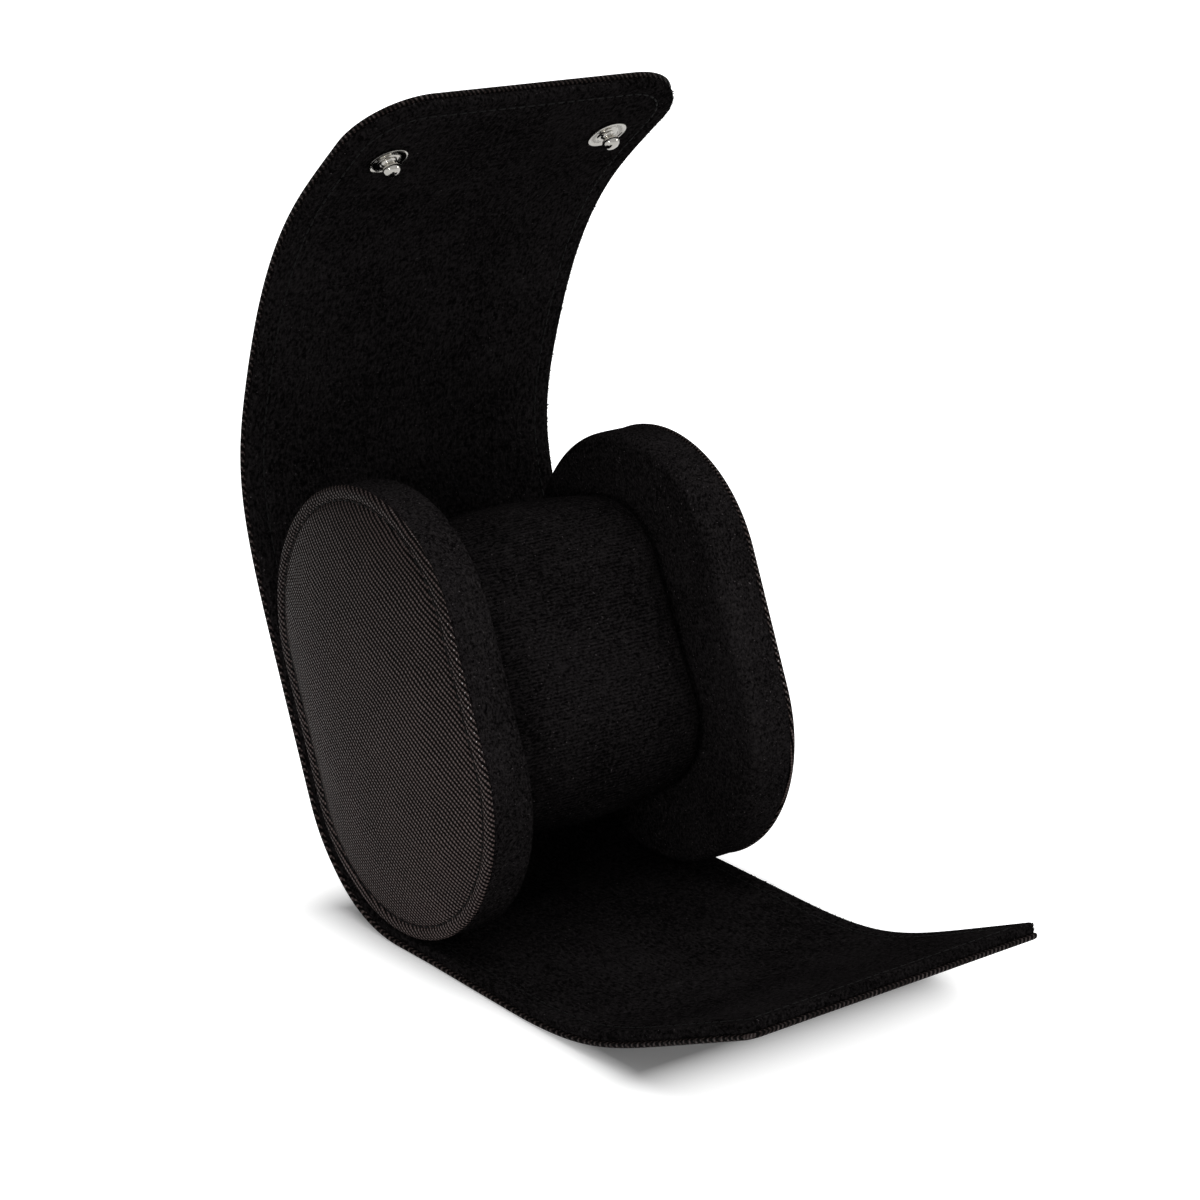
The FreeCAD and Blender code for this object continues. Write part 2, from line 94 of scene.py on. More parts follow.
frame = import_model()
CAD_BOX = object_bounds()
MM = 0.001
SIDES = ("left", "right")


# What the frame says about the roll's shape.

JOINTS = {joint["name"]: joint for joint in frame["joints"]}
SLIDE = Vector(JOINTS["cushion_slide"]["axis"])
LEAN = math.atan2(SLIDE.z, -SLIDE.y)
UP = Vector((0, math.sin(LEAN), math.cos(LEAN)))
RIGHT = Vector((1, 0, 0))
OUTWARD = {"left": -RIGHT, "right": RIGHT}


def leaning_stadium(node):
    """Centre, radius and straight of a stadium that leans back, from its node's box."""
    low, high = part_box(node)
    size = high - low
    straight = (size.z - size.y) / (math.cos(LEAN) - math.sin(LEAN))
    return (low + high) / 2, (size.z - straight * math.cos(LEAN)) / 2, straight


CAP_CENTRE, CAP_RADIUS, CAP_STRAIGHT = leaning_stadium("left_cap_band")
CAP_CENTRE.x = 0
BAY_HALF = -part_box("left_cap_band")[1].x
CAP_DEPTH = -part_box("left_cap_band")[0].x - BAY_HALF
DOME_DEPTH = -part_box("left_cap_leather")[0].x - BAY_HALF - CAP_DEPTH
CUSHION_CENTRE, CUSHION_RADIUS, CUSHION_STRAIGHT = leaning_stadium("cushion_cover")
CUSHION_END_RADIUS = leaning_stadium("cushion_end_left")[1]
CUSHION_HALF = -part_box("cushion_end_left")[0].x
CAP_SEATS = {side: CAP_CENTRE + way * (BAY_HALF + CAP_DEPTH) for side, way in OUTWARD.items()}

# Small sizes of the look alone: how far the wrap's turned edges stand out past its layers, how much the
# top flap is trimmed, how deep the caps' rims turn in, and the holes that the sockets sit in.
EDGE_OVER = 0.35 * MM
TOP_TRIM = 0.9 * MM
TURN_IN = 0.9 * MM
BORE_RADIUS = 2.72 * MM
WRAP_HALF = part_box("back_leather")[1].x + EDGE_OVER
WRAP_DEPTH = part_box("front_lining_1")[1].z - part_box("front_leather_1")[0].z


class Path:
    """A line in the side view, of stretches that run straight or bend evenly, eased into each other."""

    STEP = 0.2 * MM
    MARGIN = 60 * MM
    EASE_REACH = 4

    def __init__(self, start, heading, way, stretches, ease):
        self.way = way
        self.start = np.array(start, float)
        self.lengths = [0.0, *np.cumsum([long for long, _ in stretches])]
        turns = [0.0, *np.cumsum([turn for _, turn in stretches])]
        self.along = np.arange(-self.MARGIN, self.lengths[-1] + self.MARGIN, self.STEP)
        self.headings = heading + way * np.interp(self.along, self.lengths, turns)
        reach = int(self.EASE_REACH * ease / self.STEP)
        window = np.exp(-((np.arange(-reach, reach + 1) * self.STEP / ease) ** 2) / 2)
        padded = np.pad(self.headings, reach, mode="edge")
        self.headings = np.convolve(padded, window / window.sum(), mode="valid")
        middle = (self.headings[1:] + self.headings[:-1]) / 2
        moves = self.STEP * np.stack([np.cos(middle), np.sin(middle)], -1)
        begin = self.start - self.MARGIN * np.array([math.cos(heading), math.sin(heading)])
        self.spots = begin + np.concatenate([np.zeros((1, 2)), np.cumsum(moves, axis=0)])

    def at(self, along):
        """Places and headings at distances along the path, which runs straight past both ends."""
        spots = [np.interp(along, self.along, self.spots[:, axis]) for axis in (0, 1)]
        return np.stack(spots, -1), np.interp(along, self.along, self.headings)

    def point(self, along):
        """One place on the path, in the frame's own axes."""
        spot = self.at(np.array([along]))[0][0]
        return Vector((0, spot[0], spot[1]))

    def outward(self, along):
        """The direction from the lining to the leather at one place on the path."""
        heading = float(self.at(np.array([along]))[1][0])
        return Vector((0, math.sin(heading), -math.cos(heading))) * self.way


def flap_path(flap, heading, way, ease, trim):
    """A flap's line on the face of its lining, from crease to crease and on to its tip."""
    creases = sum(name.startswith(f"{flap}_crease") for name in JOINTS)
    spots = [Vector(JOINTS[f"{flap}_crease_{n}"]["pos_m"]).yz for n in range(1, creases + 1)]
    stretches = []
    ahead = heading
    for here, there in zip(spots, spots[1:]):
        chord = there - here
        half = math.remainder(math.atan2(chord.y, chord.x) - ahead, 2 * math.pi)
        longer = half / math.sin(half) if abs(half) > 1e-5 else 1.0
        stretches.append((chord.length * longer, 2 * half * way))
        ahead += 2 * half
    direction = Vector((math.cos(ahead), math.sin(ahead)))
    corners = [corner.co.yz for corner in frame["nodes"][f"{flap}_lining_{creases}"].data.vertices]
    tip = max((corner - spots[-1]).dot(direction) for corner in corners)
    stretches.append((tip - trim, 0.0))
    return Path(spots[0], heading, way, stretches, ease)


TOP_EASE = 6 * MM
FRONT_EASE = 9 * MM
BACK_EASE = 1.5 * MM
TOP = flap_path("top", math.pi / 2 - LEAN, 1, TOP_EASE, TOP_TRIM)
FRONT = flap_path("front", math.pi, -1, FRONT_EASE, 0.0)
HEEL_TURN = math.radians(44)
HEEL_RADIUS = 27 * MM
BACK_RADIUS = CAP_CENTRE.z - WRAP_DEPTH - CAP_STRAIGHT / 2 * math.cos(LEAN)
LOW_TURN = math.pi / 2 - LEAN - HEEL_TURN
SLOPE = (BACK_RADIUS - HEEL_RADIUS) * math.tan(HEEL_TURN / 2)
RISE = (Vector((0, *TOP.start)) - CAP_CENTRE).dot(UP) + CAP_STRAIGHT / 2
LOW_SPOT = -CAP_STRAIGHT / 2 * math.sin(LEAN)
BACK = Path(
    TOP.start,
    -math.pi / 2 - LEAN,
    -1,
    (
        (RISE, 0.0),
        (BACK_RADIUS * LOW_TURN, LOW_TURN),
        (SLOPE, 0.0),
        (HEEL_RADIUS * HEEL_TURN, HEEL_TURN),
        (SLOPE + LOW_SPOT - FRONT.start[0], 0.0),
    ),
    BACK_EASE,
)
FLAPS = {"top": TOP, "front": FRONT}


# Sizes and colours that a user would change.

def length(label, size, words):
    """A length property with its default in millimetres."""
    return FloatProperty(name=label, description=words, default=size * MM, subtype="DISTANCE", unit="LENGTH")


def angle(label, size, words):
    """An angle property with its default in degrees."""
    turn = math.radians(size)
    return FloatProperty(name=label, description=words, default=turn, subtype="ANGLE", unit="ROTATION")


def share(label, size, words):
    """A plain number property."""
    return FloatProperty(name=label, description=words, default=size)


def count(label, size, words):
    """A whole number property."""
    return IntProperty(name=label, description=words, default=size)


def colour(label, value, words):
    """A colour property."""
    return FloatVectorProperty(
        name=label, description=words, default=value, subtype="COLOR", size=3, min=0, max=1
    )


class CapSettings(bpy.types.PropertyGroup):
    """Sizes of the end caps."""

    stitch_inset: length("Stitch inset", 2.8, "Distance of the seam from the rim")
    groove: length("Groove", 0.45, "Depth that the seam is drawn in")
    rim: length("Rim", 2.45, "Height of the padded rim above the edge band")
    rim_round: length("Rim round", 1.3, "Rounding of the padded leather rim")
    collar: length("Collar", 1.15, "How far the suede edge reaches over the leather's foot")
    proud: length("Proud", 0.1, "How far the leather rim stands out from the suede edge")
    suede_round: length("Suede round", 1.7, "Rounding of the suede edge in the bay")
    fullness: share("Fullness", 2.3, "How full the padded face is: 2 is a plain dome")
    around: count("Points around", 220, "Points round a cap")


class CushionSettings(bpy.types.PropertyGroup):
    """Sizes of the cushion."""

    edge_round: length("Edge round", 2.8, "Rounding of the cushion's ends")
    start_inset: length("Start inset", 0.7, "How much smaller the form is before it swells")
    swell: length("Swell", 0.9, "The most that a point moves while the cushion swells")
    voxel: length("Voxel", 1.3, "Size of the cloth's cells")
    pressure: share("Pressure", 4.0, "Pressure that fills the cover")
    belly: length("Belly", 2.0, "How far the filling sinks forward at the foot of the cushion")


class WrapSettings(bpy.types.PropertyGroup):
    """Sizes of the wrap and its two flaps."""

    lining_depth: length("Lining depth", 2.0, "Thickness of the suede lining with its board")
    lining_inset: length("Lining inset", 0.35, "Distance of the lining's edge from the leather's edge")
    leather_edge: length("Leather edge", 0.9, "Rounding of the turned leather edge")
    lining_edge: length("Lining edge", 0.5, "Rounding of the lining's edge")
    stitch_inset: length("Stitch inset", 4.0, "Distance of the seam from the wrap's edge")
    groove: length("Groove", 0.28, "Depth that the seam is drawn in")
    seam_width: length("Seam width", 0.55, "Width of the drawn-in seam")
    top_corner: length("Top corner", 15.0, "Corner radius of the top flap")
    front_corner: length("Front corner", 3.0, "Corner radius of the front flap")
    front_slant: length("Front slant", 3.0, "How much the left corner of the front flap leads its middle")
    front_shift: length("Front shift", 0.8, "How far the front flap lies to the left")
    top_back: length("Top back", 1.4, "How far the top flap's left corner lies back")
    top_hang: length("Top hang", 0.5, "How far the top flap's right corner hangs forward")
    top_flare: length("Top flare", 1.4, "How far the top flap's right edge flares out at its tip")
    bend_reach: length("Bend reach", 7.5, "Length of wrap that bends on each side of a crease")
    fibre_pitch: length("Fibre pitch", 0.2, "Distance between fibres along the lining's edge")
    fibre_long: length("Fibre length", 0.55, "Length of the fibres at the lining's edge")
    fibre_thick: length("Fibre thickness", 0.13, "Thickness of a fibre's root")
    across: count("Cells across", 110, "Cells across the wrap")
    cell: length("Cell", 1.2, "Length of a cell along the wrap")


class StitchSettings(bpy.types.PropertyGroup):
    """Sizes of the stitches."""

    pitch: length("Pitch", 2.3, "Distance from stitch to stitch")
    long: length("Length", 1.75, "Length of one stitch")
    thick: length("Thickness", 0.42, "Thickness of the thread")
    sink: length("Sink", 0.1, "Depth of a stitch's middle below the face")


class SnapSettings(bpy.types.PropertyGroup):
    """Sizes of the snaps."""

    steps: count("Steps", 96, "Steps of the turning")
    ribs: length("Ribs", 0.12, "Height of the ribs on a stud's flange")


class FinishSettings(bpy.types.PropertyGroup):
    """Colours and textures."""

    leather: colour("Leather", (0.066, 0.048, 0.045), "Colour of the leather")
    suede: colour("Suede", (0.0072, 0.0064, 0.0066), "Colour of the suede")
    thread: colour("Thread", (0.0028, 0.0026, 0.0026), "Colour of the thread")
    nickel: colour("Nickel", (0.44, 0.425, 0.4), "Colour of the snaps")
    grain_pitch: share("Grain pitch", 0.9, "Distance between grain lines in millimetres")


class StageSettings(bpy.types.PropertyGroup):
    """Camera, light and floor."""

    azimuth: angle("Azimuth", -37.52, "Direction of the camera round the roll")
    elevation: angle("Elevation", 18.14, "Height of the camera as an angle")
    distance: length("Distance", 738, "Distance of the camera")
    target_x: length("Target across", 16.56, "Point that the camera looks at, across")
    target_z: length("Target height", 61.2, "Point that the camera looks at, height")
    lens: share("Lens", 107.8, "Focal length in millimetres on a 36 mm sensor")


# Small tools for meshes.

SHARP_EDGE = math.radians(48)


def start_on(obj):
    """Make one object the only selected one and the active one."""
    bpy.ops.object.select_all(action="DESELECT")
    obj.select_set(True)
    bpy.context.view_layer.objects.active = obj


def added(name):
    """The object that an operator has just added, under a new name."""
    obj = bpy.context.object
    obj.name = name
    obj.data.name = name
    return obj


def mesh_object(name, places, edges, faces):
    """A new piece from its points, edges and faces."""
    mesh = bpy.data.meshes.new(name)
    mesh.from_pydata(places, edges, faces)
    obj = bpy.data.objects.new(name, mesh)
    bpy.context.scene.collection.objects.link(obj)
    return obj


def edit_all(obj):
    """Open a piece in edit mode with all of it selected."""
    start_on(obj)
    bpy.ops.object.mode_set(mode="EDIT")
    bpy.ops.mesh.select_all(action="SELECT")


def points(obj):
    """A mesh's points as an array."""
    found = np.zeros(len(obj.data.vertices) * 3)
    obj.data.vertices.foreach_get("co", found)
    return found.reshape(-1, 3)


def set_points(obj, places):
    """Move a mesh's points to the places in an array."""
    obj.data.vertices.foreach_set("co", np.ascontiguousarray(places, dtype=np.float32).ravel())
    obj.data.update()


def keep_pattern(obj, places=None):
    """Store where each point lies in the flat pattern, in millimetres, for the finishes."""
    flat = points(obj) if places is None else places
    layer = obj.data.attributes.new("pattern", "FLOAT_VECTOR", "POINT")
    layer.data.foreach_set("vector", np.ascontiguousarray(flat / MM, dtype=np.float32).ravel())


def outside_out(obj):
    """Point all faces of a closed piece outwards and shade it smooth up to its sharp edges."""
    edit_all(obj)
    bpy.ops.mesh.normals_make_consistent(inside=False)
    bpy.ops.object.mode_set(mode="OBJECT")
    bpy.ops.object.shade_smooth_by_angle(angle=SHARP_EDGE)


def stand(obj, origin, axis):
    """Put a piece that was modelled flat at its place on the lean, with its z along an axis."""
    turn = Matrix((UP.cross(axis), UP, axis)).transposed().to_4x4()
    obj.data.transform(Matrix.Translation(origin) @ turn)
    obj.data.update()


def dress(obj, finish, body=None, stands_for=()):
    """Give a piece its finish and slot, the body that it rides on and the nodes that it stands for."""
    obj.data.materials.clear()
    obj.data.materials.append(finish)
    if body:
        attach(obj, body)
    if stands_for:
        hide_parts(*stands_for)


def round_stadium(turns, radius, straight):
    """Directions and spine heights of places round a stadium, even at one radius, and the way round."""
    quarter = radius * math.pi / 2
    half = straight / 2
    whole = 4 * quarter + 4 * half
    along = np.asarray(turns) % 1.0 * whole
    marks = np.array([0, half, half + 2 * quarter, 3 * half + 2 * quarter, 3 * half + 4 * quarter, whole])
    way = np.interp(along, marks, [0, 0, math.pi, math.pi, 2 * math.pi, 2 * math.pi])
    spine = np.interp(along, marks, [0, half, half, -half, -half, 0])
    return way, spine, whole


def stadium_shell(name, profile, straight, around):
    """A ring drawn up level by level to a profile of radius and height, and its flat pattern."""
    bpy.ops.object.select_all(action="DESELECT")
    bpy.ops.mesh.primitive_circle_add(vertices=around, radius=1, fill_type="NGON")
    obj = added(name)
    edit_all(obj)
    for _ in profile[1:]:
        bpy.ops.mesh.extrude_region_move(TRANSFORM_OT_translate={"value": (0, 0, 1)})
    bpy.ops.object.mode_set(mode="OBJECT")
    flat = points(obj)
    level = np.rint(flat[:, 2]).astype(int)
    radii, heights = np.array(profile).T
    turns = np.arctan2(flat[:, 1], flat[:, 0]) / (2 * math.pi)
    way, spine, _ = round_stadium(turns, radii.max(), straight)
    radius = radii[level]
    set_points(obj, np.stack([radius * np.cos(way), spine + radius * np.sin(way), heights[level]], -1))
    rings = np.hypot(np.diff(radii), np.diff(heights))
    reach = (radii[-1] + np.append(np.cumsum(rings[::-1])[::-1], 0.0))[level]
    return obj, np.stack([reach * np.cos(way), spine + reach * np.sin(way), 0.0 * reach + WRAP_DEPTH], -1)


# Finishes. Each suede has a streak, which is how many fibres lie across each millimetre of the pattern,
# a strength of its rows and a level of light. Its nap goes from dark to light by shares of its colour.

SUEDES = {
    "lining_suede": ((1.9, 1.0, 1.5), 0.1, 1.1),
    "cap_suede": ((2.4, 1.6, 2.4), 0.1, 1.65),
    "cushion_suede": ((1.5, 2.4, 1.5), 0.35, 1.35),
}
ROW_PITCH = 0.75
NAP_DARK = 0.25
NAP_LIGHT = 2.45
LINT_LIGHT = 24
LINT_SHARE = 0.35
NAP_RELIEF = 0.6 * MM

# The grain's ridges are given by the directions across them. The grain's colour is painted lighter on the
# ridges as a painted highlight and darker in the grooves as painted shade. The leather is darker where it
# turns in at an edge, over a span of the wrap's depth, and it is painted darker from the foot of the caps to
# their top as painted shade.

MAIN_RIDGES = (0.83, 0.558, 0.35)
CROSS_RIDGES = (-0.643, 0.766, -0.35)
CROSS_SPREAD = 0.8
# The grain's colour runs from painted shade in the grooves to a painted highlight on the ridges.
PAINTED_GROOVE_SHADE = 0.02
PAINTED_RIDGE_LIGHT = 2.6
GRAIN_RELIEF = 0.25 * MM
EDGE_SPAN = (0.8, 0.97)
EDGE_SHADE = 0.6
# Painted shade: the caps' leather is painted darker from their foot to their top, for less light from above
# than from the floor.
PAINTED_SHADE_REACH = 46.0
PAINTED_TOP_SHADE = 0.45
BEAD_GLOSS = 0.75


class Nodes:
    """A short way to add and join the nodes of one tree."""

    def __init__(self, tree):
        self.tree = tree

    def add(self, kind, **settings):
        node = self.tree.nodes.new(kind)
        for name, value in settings.items():
            setattr(node, name, value)
        return node

    def feed(self, socket, value):
        if isinstance(value, bpy.types.NodeSocket):
            self.tree.links.new(value, socket)
        else:
            socket.default_value = value

    def sum(self, operation, *values):
        node = self.add("ShaderNodeMath", operation=operation)
        for socket, value in zip(node.inputs, values):
            self.feed(socket, value)
        return node.outputs[0]

    def vector(self, operation, *values):
        node = self.add("ShaderNodeVectorMath", operation=operation)
        for socket, value in zip(node.inputs, values):
            self.feed(socket, value)
        return node.outputs["Value"] if operation in ("DOT_PRODUCT", "LENGTH") else node.outputs["Vector"]

    def noise(self, vector, scale, detail=2.0, roughness=0.5):
        node = self.add("ShaderNodeTexNoise")
        self.feed(node.inputs["Vector"], vector)
        self.feed(node.inputs["Scale"], scale)
        self.feed(node.inputs["Detail"], detail)
        self.feed(node.inputs["Roughness"], roughness)
        return node.outputs["Fac"]

    def span(self, value, low, high, to_low=0.0, to_high=1.0):
        node = self.add("ShaderNodeMapRange")
        for socket, given in zip(node.inputs, (value, low, high, to_low, to_high)):
            self.feed(socket, given)
        return node.outputs["Result"]

    def blend(self, amount, one, other):
        node = self.add("ShaderNodeMix", data_type="RGBA")
        self.feed(node.inputs["Factor"], amount)
        self.feed(node.inputs["A"], one)
        self.feed(node.inputs["B"], other)
        return node.outputs["Result"]

    def group(self, tree, **values):
        node = self.add("ShaderNodeGroup", node_tree=tree)
        for name, value in values.items():
            self.feed(node.inputs[name.replace("_", " ").capitalize()], value)
        return node.outputs


def new_group(name, inputs, outputs):
    """A shader node group with named sockets, and its two end nodes."""
    tree = bpy.data.node_groups.new(name, "ShaderNodeTree")
    for label, kind, default in inputs:
        socket = tree.interface.new_socket(label, in_out="INPUT", socket_type=kind)
        if default is not None:
            socket.default_value = default
    for label in outputs:
        tree.interface.new_socket(label, in_out="OUTPUT", socket_type="NodeSocketFloat")
    nodes = Nodes(tree)
    return nodes, nodes.add("NodeGroupInput").outputs, nodes.add("NodeGroupOutput").inputs


def crosshatch_group():
    """Pressed crosshatch grain: two sets of fine slanting ridges, one stronger, with small breaks."""
    name = "Crosshatch grain"
    if name in bpy.data.node_groups:
        return bpy.data.node_groups[name]
    nodes, given, out = new_group(
        name,
        (("Pattern", "NodeSocketVector", None), ("Pitch", "NodeSocketFloat", 0.7)),
        ("Height", "Wear", "Beads"),
    )
    drift = nodes.noise(given["Pattern"], 0.09, 2.0)
    waver = nodes.noise(given["Pattern"], 0.9, 2.0)
    wander = nodes.sum("ADD", nodes.span(drift, 0, 1, -0.8, 0.8), nodes.span(waver, 0, 1, -0.12, 0.12))
    ridges = []
    for normal, spread in ((MAIN_RIDGES, 1.0), (CROSS_RIDGES, CROSS_SPREAD)):
        across = nodes.sum("ADD", nodes.vector("DOT_PRODUCT", given["Pattern"], normal), wander)
        rate = nodes.sum("DIVIDE", 2 * math.pi / spread, given["Pitch"])
        wave = nodes.sum("SINE", nodes.sum("MULTIPLY", across, rate))
        ridges.append(nodes.span(wave, -0.4, 0.75))
    breaks = nodes.noise(given["Pattern"], 1.6, 2.0)
    strong = nodes.sum("MULTIPLY", ridges[0], nodes.span(breaks, 0.25, 0.6, 0.75, 1.0))
    beads = nodes.sum("MULTIPLY", strong, ridges[1])
    lines = nodes.sum("ADD", nodes.sum("MULTIPLY", strong, 0.5), nodes.sum("MULTIPLY", beads, 0.4))
    height = nodes.sum("ADD", lines, nodes.sum("MULTIPLY", ridges[1], 0.12))
    pores = nodes.sum("MULTIPLY", nodes.noise(given["Pattern"], 5.0, 2.0), 0.06)
    nodes.feed(out["Height"], nodes.sum("ADD", height, pores))
    # The colour mask: the ridges take a painted highlight and the grooves painted shade, varied at random
    # over the leather.
    nodes.feed(out["Wear"], nodes.sum("MULTIPLY", height, nodes.span(drift, 0.2, 0.8, 0.8, 1.1)))
    nodes.feed(out["Beads"], beads)
    return nodes.tree


def nap_group():
    """Brushed nap: broad patches, clumps, fibres that lie one way, faint rows and a few specks of lint."""
    name = "Brushed nap"
    if name in bpy.data.node_groups:
        return bpy.data.node_groups[name]
    nodes, given, out = new_group(
        name,
        (
            ("Pattern", "NodeSocketVector", None),
            ("Streak", "NodeSocketVector", (1.0, 1.0, 1.0)),
            ("Rows", "NodeSocketFloat", 0.2),
        ),
        ("Shade", "Height", "Lint"),
    )
    pattern = given["Pattern"]
    patch = nodes.noise(pattern, 0.05, 3.0, 0.6)
    clump = nodes.noise(pattern, 0.9, 3.0, 0.65)
    swirl = nodes.sum("MULTIPLY", nodes.noise(pattern, 0.12, 1.0), 5.0)
    lying = nodes.vector("ADD", nodes.vector("MULTIPLY", pattern, given["Streak"]), swirl)
    fibre = nodes.noise(lying, 1.0, 3.0, 0.7)
    height = nodes.vector("DOT_PRODUCT", pattern, (0.0, 1.0, 0.0))
    wobble = nodes.sum("MULTIPLY", clump, 0.35)
    phase = nodes.sum("MULTIPLY", nodes.sum("ADD", height, wobble), 2 * math.pi / ROW_PITCH)
    rows = nodes.sum("MULTIPLY", nodes.sum("SINE", phase), given["Rows"])
    shade = nodes.sum("ADD", nodes.sum("MULTIPLY", patch, 0.15), nodes.sum("MULTIPLY", clump, 0.25))
    shade = nodes.sum("ADD", shade, nodes.sum("MULTIPLY", fibre, 0.6))
    shade = nodes.sum("ADD", shade, nodes.sum("MULTIPLY", rows, 0.08))
    nodes.feed(out["Shade"], nodes.span(shade, 0.42, 0.61))
    relief = nodes.sum("ADD", fibre, nodes.sum("MULTIPLY", clump, 1.2))
    nodes.feed(out["Height"], nodes.sum("ADD", relief, nodes.sum("MULTIPLY", rows, 0.35)))
    nodes.feed(out["Lint"], nodes.span(nodes.noise(pattern, 2.0, 1.0), 0.74, 0.78))
    return nodes.tree


def new_finish(name):
    """A material with its shader, and the flat pattern that it follows."""
    finish = bpy.data.materials.new(name)
    finish.use_nodes = True
    nodes = Nodes(finish.node_tree)
    shader = finish.node_tree.nodes["Principled BSDF"]
    pattern = nodes.add("ShaderNodeAttribute", attribute_name="pattern").outputs["Vector"]
    return finish, nodes, shader, pattern


def add_bump(nodes, shader, height, distance):
    """Relief from a height, at its full strength."""
    bump = nodes.add("ShaderNodeBump")
    nodes.feed(bump.inputs["Height"], height)
    nodes.feed(bump.inputs["Distance"], distance)
    nodes.feed(bump.inputs["Strength"], 1.0)
    nodes.feed(shader.inputs["Normal"], bump.outputs["Normal"])


def times(rgb, factor):
    """A colour made lighter or darker, with its alpha."""
    return (*(min(1.0, part * factor) for part in rgb), 1.0)


def leather_finish():
    """Black crosshatched leather with a satin face, painted lighter on the ridges as a painted highlight and
    darker in the grooves and towards the caps' tops as painted shade.
    """
    if "crosshatch_leather" in bpy.data.materials:
        return bpy.data.materials["crosshatch_leather"]
    settings = bpy.context.scene.roll_finish
    finish, nodes, shader, pattern = new_finish("crosshatch_leather")
    grain = nodes.group(crosshatch_group(), pattern=pattern, pitch=settings.grain_pitch)
    depth = nodes.vector("DOT_PRODUCT", pattern, (0.0, 0.0, 1.0))
    edge = [part * WRAP_DEPTH / MM for part in EDGE_SPAN]
    face = nodes.span(depth, *edge, EDGE_SHADE, 1.0)
    # Painted shade that darkens the leather from the caps' foot to their top; on the wrap it follows the
    # pattern's length the same way.
    height = nodes.vector("DOT_PRODUCT", pattern, (0.0, 1.0, 0.0))
    above_foot = nodes.sum("ABSOLUTE", nodes.sum("ADD", height, PAINTED_SHADE_REACH))
    edge_and_painted_shade = nodes.sum("MULTIPLY", face, nodes.span(above_foot, 0.0, 2 * PAINTED_SHADE_REACH, 1.0, PAINTED_TOP_SHADE))
    shade = nodes.sum("MULTIPLY", nodes.span(grain["Wear"], 0.18, 0.82), edge_and_painted_shade)
    # Painted shade in the grooves and a painted highlight on the ridges, as shares of the leather's colour.
    ends = times(settings.leather, PAINTED_GROOVE_SHADE), times(settings.leather, PAINTED_RIDGE_LIGHT)
    nodes.feed(shader.inputs["Base Color"], nodes.blend(shade, *ends))
    beads = nodes.sum("MULTIPLY", nodes.span(grain["Beads"], 0.2, 0.8, 0.0, BEAD_GLOSS), face)
    nodes.feed(shader.inputs["Coat Weight"], beads)
    shader.inputs["Coat Roughness"].default_value = 0.17
    nodes.feed(shader.inputs["Roughness"], nodes.span(grain["Height"], 0.1, 0.95, 0.75, 0.45))
    shader.inputs["Specular IOR Level"].default_value = 0.05
    add_bump(nodes, shader, grain["Height"], GRAIN_RELIEF)
    return finish


def suede_finish(name):
    """One of the near-black suedes, with a brushed nap."""
    if name in bpy.data.materials:
        return bpy.data.materials[name]
    streak, rows, level = SUEDES[name]
    suede = bpy.context.scene.roll_finish.suede
    dark, light, lint = (times(suede, part * level) for part in (NAP_DARK, NAP_LIGHT, LINT_LIGHT))
    finish, nodes, shader, pattern = new_finish(name)
    nap = nodes.group(nap_group(), pattern=pattern, streak=streak, rows=rows)
    brushed = nodes.blend(nap["Shade"], dark, light)
    specks = nodes.sum("MULTIPLY", nap["Lint"], LINT_SHARE)
    nodes.feed(shader.inputs["Base Color"], nodes.blend(specks, brushed, lint))
    shader.inputs["Roughness"].default_value = 0.95
    shader.inputs["Specular IOR Level"].default_value = 0.0
    add_bump(nodes, shader, nap["Height"], NAP_RELIEF)
    return finish


def thread_finish():
    """Twisted black thread."""
    if "thread" in bpy.data.materials:
        return bpy.data.materials["thread"]
    settings = bpy.context.scene.roll_finish
    finish, nodes, shader, pattern = new_finish("thread")
    twist = nodes.noise(pattern, 2.5, 2.0)
    nodes.feed(
        shader.inputs["Base Color"],
        nodes.blend(nodes.span(twist, 0.35, 0.7), times(settings.thread, 0.6), times(settings.thread, 2.2)),
    )
    shader.inputs["Roughness"].default_value = 0.7
    shader.inputs["Specular IOR Level"].default_value = 0.2
    add_bump(nodes, shader, twist, 0.08 * MM)
    return finish


def nickel_finish():
    """Polished nickel with fine brushing and a few dull spots."""
    if "nickel" in bpy.data.materials:
        return bpy.data.materials["nickel"]
    settings = bpy.context.scene.roll_finish
    finish, nodes, shader, pattern = new_finish("nickel")
    dull = nodes.noise(pattern, 1.1, 3.0, 0.6)
    nodes.feed(
        shader.inputs["Base Color"],
        nodes.blend(nodes.span(dull, 0.35, 0.75), times(settings.nickel, 1.1), times(settings.nickel, 0.8)),
    )
    nodes.feed(shader.inputs["Roughness"], nodes.span(dull, 0.3, 0.75, 0.14, 0.32))
    shader.inputs["Metallic"].default_value = 1.0
    add_bump(nodes, shader, nodes.noise(pattern, 6.0, 2.0), 0.02 * MM)
    return finish


# Pieces. A cap's leather and suede both go on under the rim, unseen, with a skin's gap between them. The
# dome closes in rings to a small eye in the middle.

UNDER_RIM = 2 * MM
SEAM_HALF = 0.7 * MM
DOME_RINGS = 26
DOME_EYE = 0.03
INNER_RINGS = 14
SKIN = 0.05 * MM


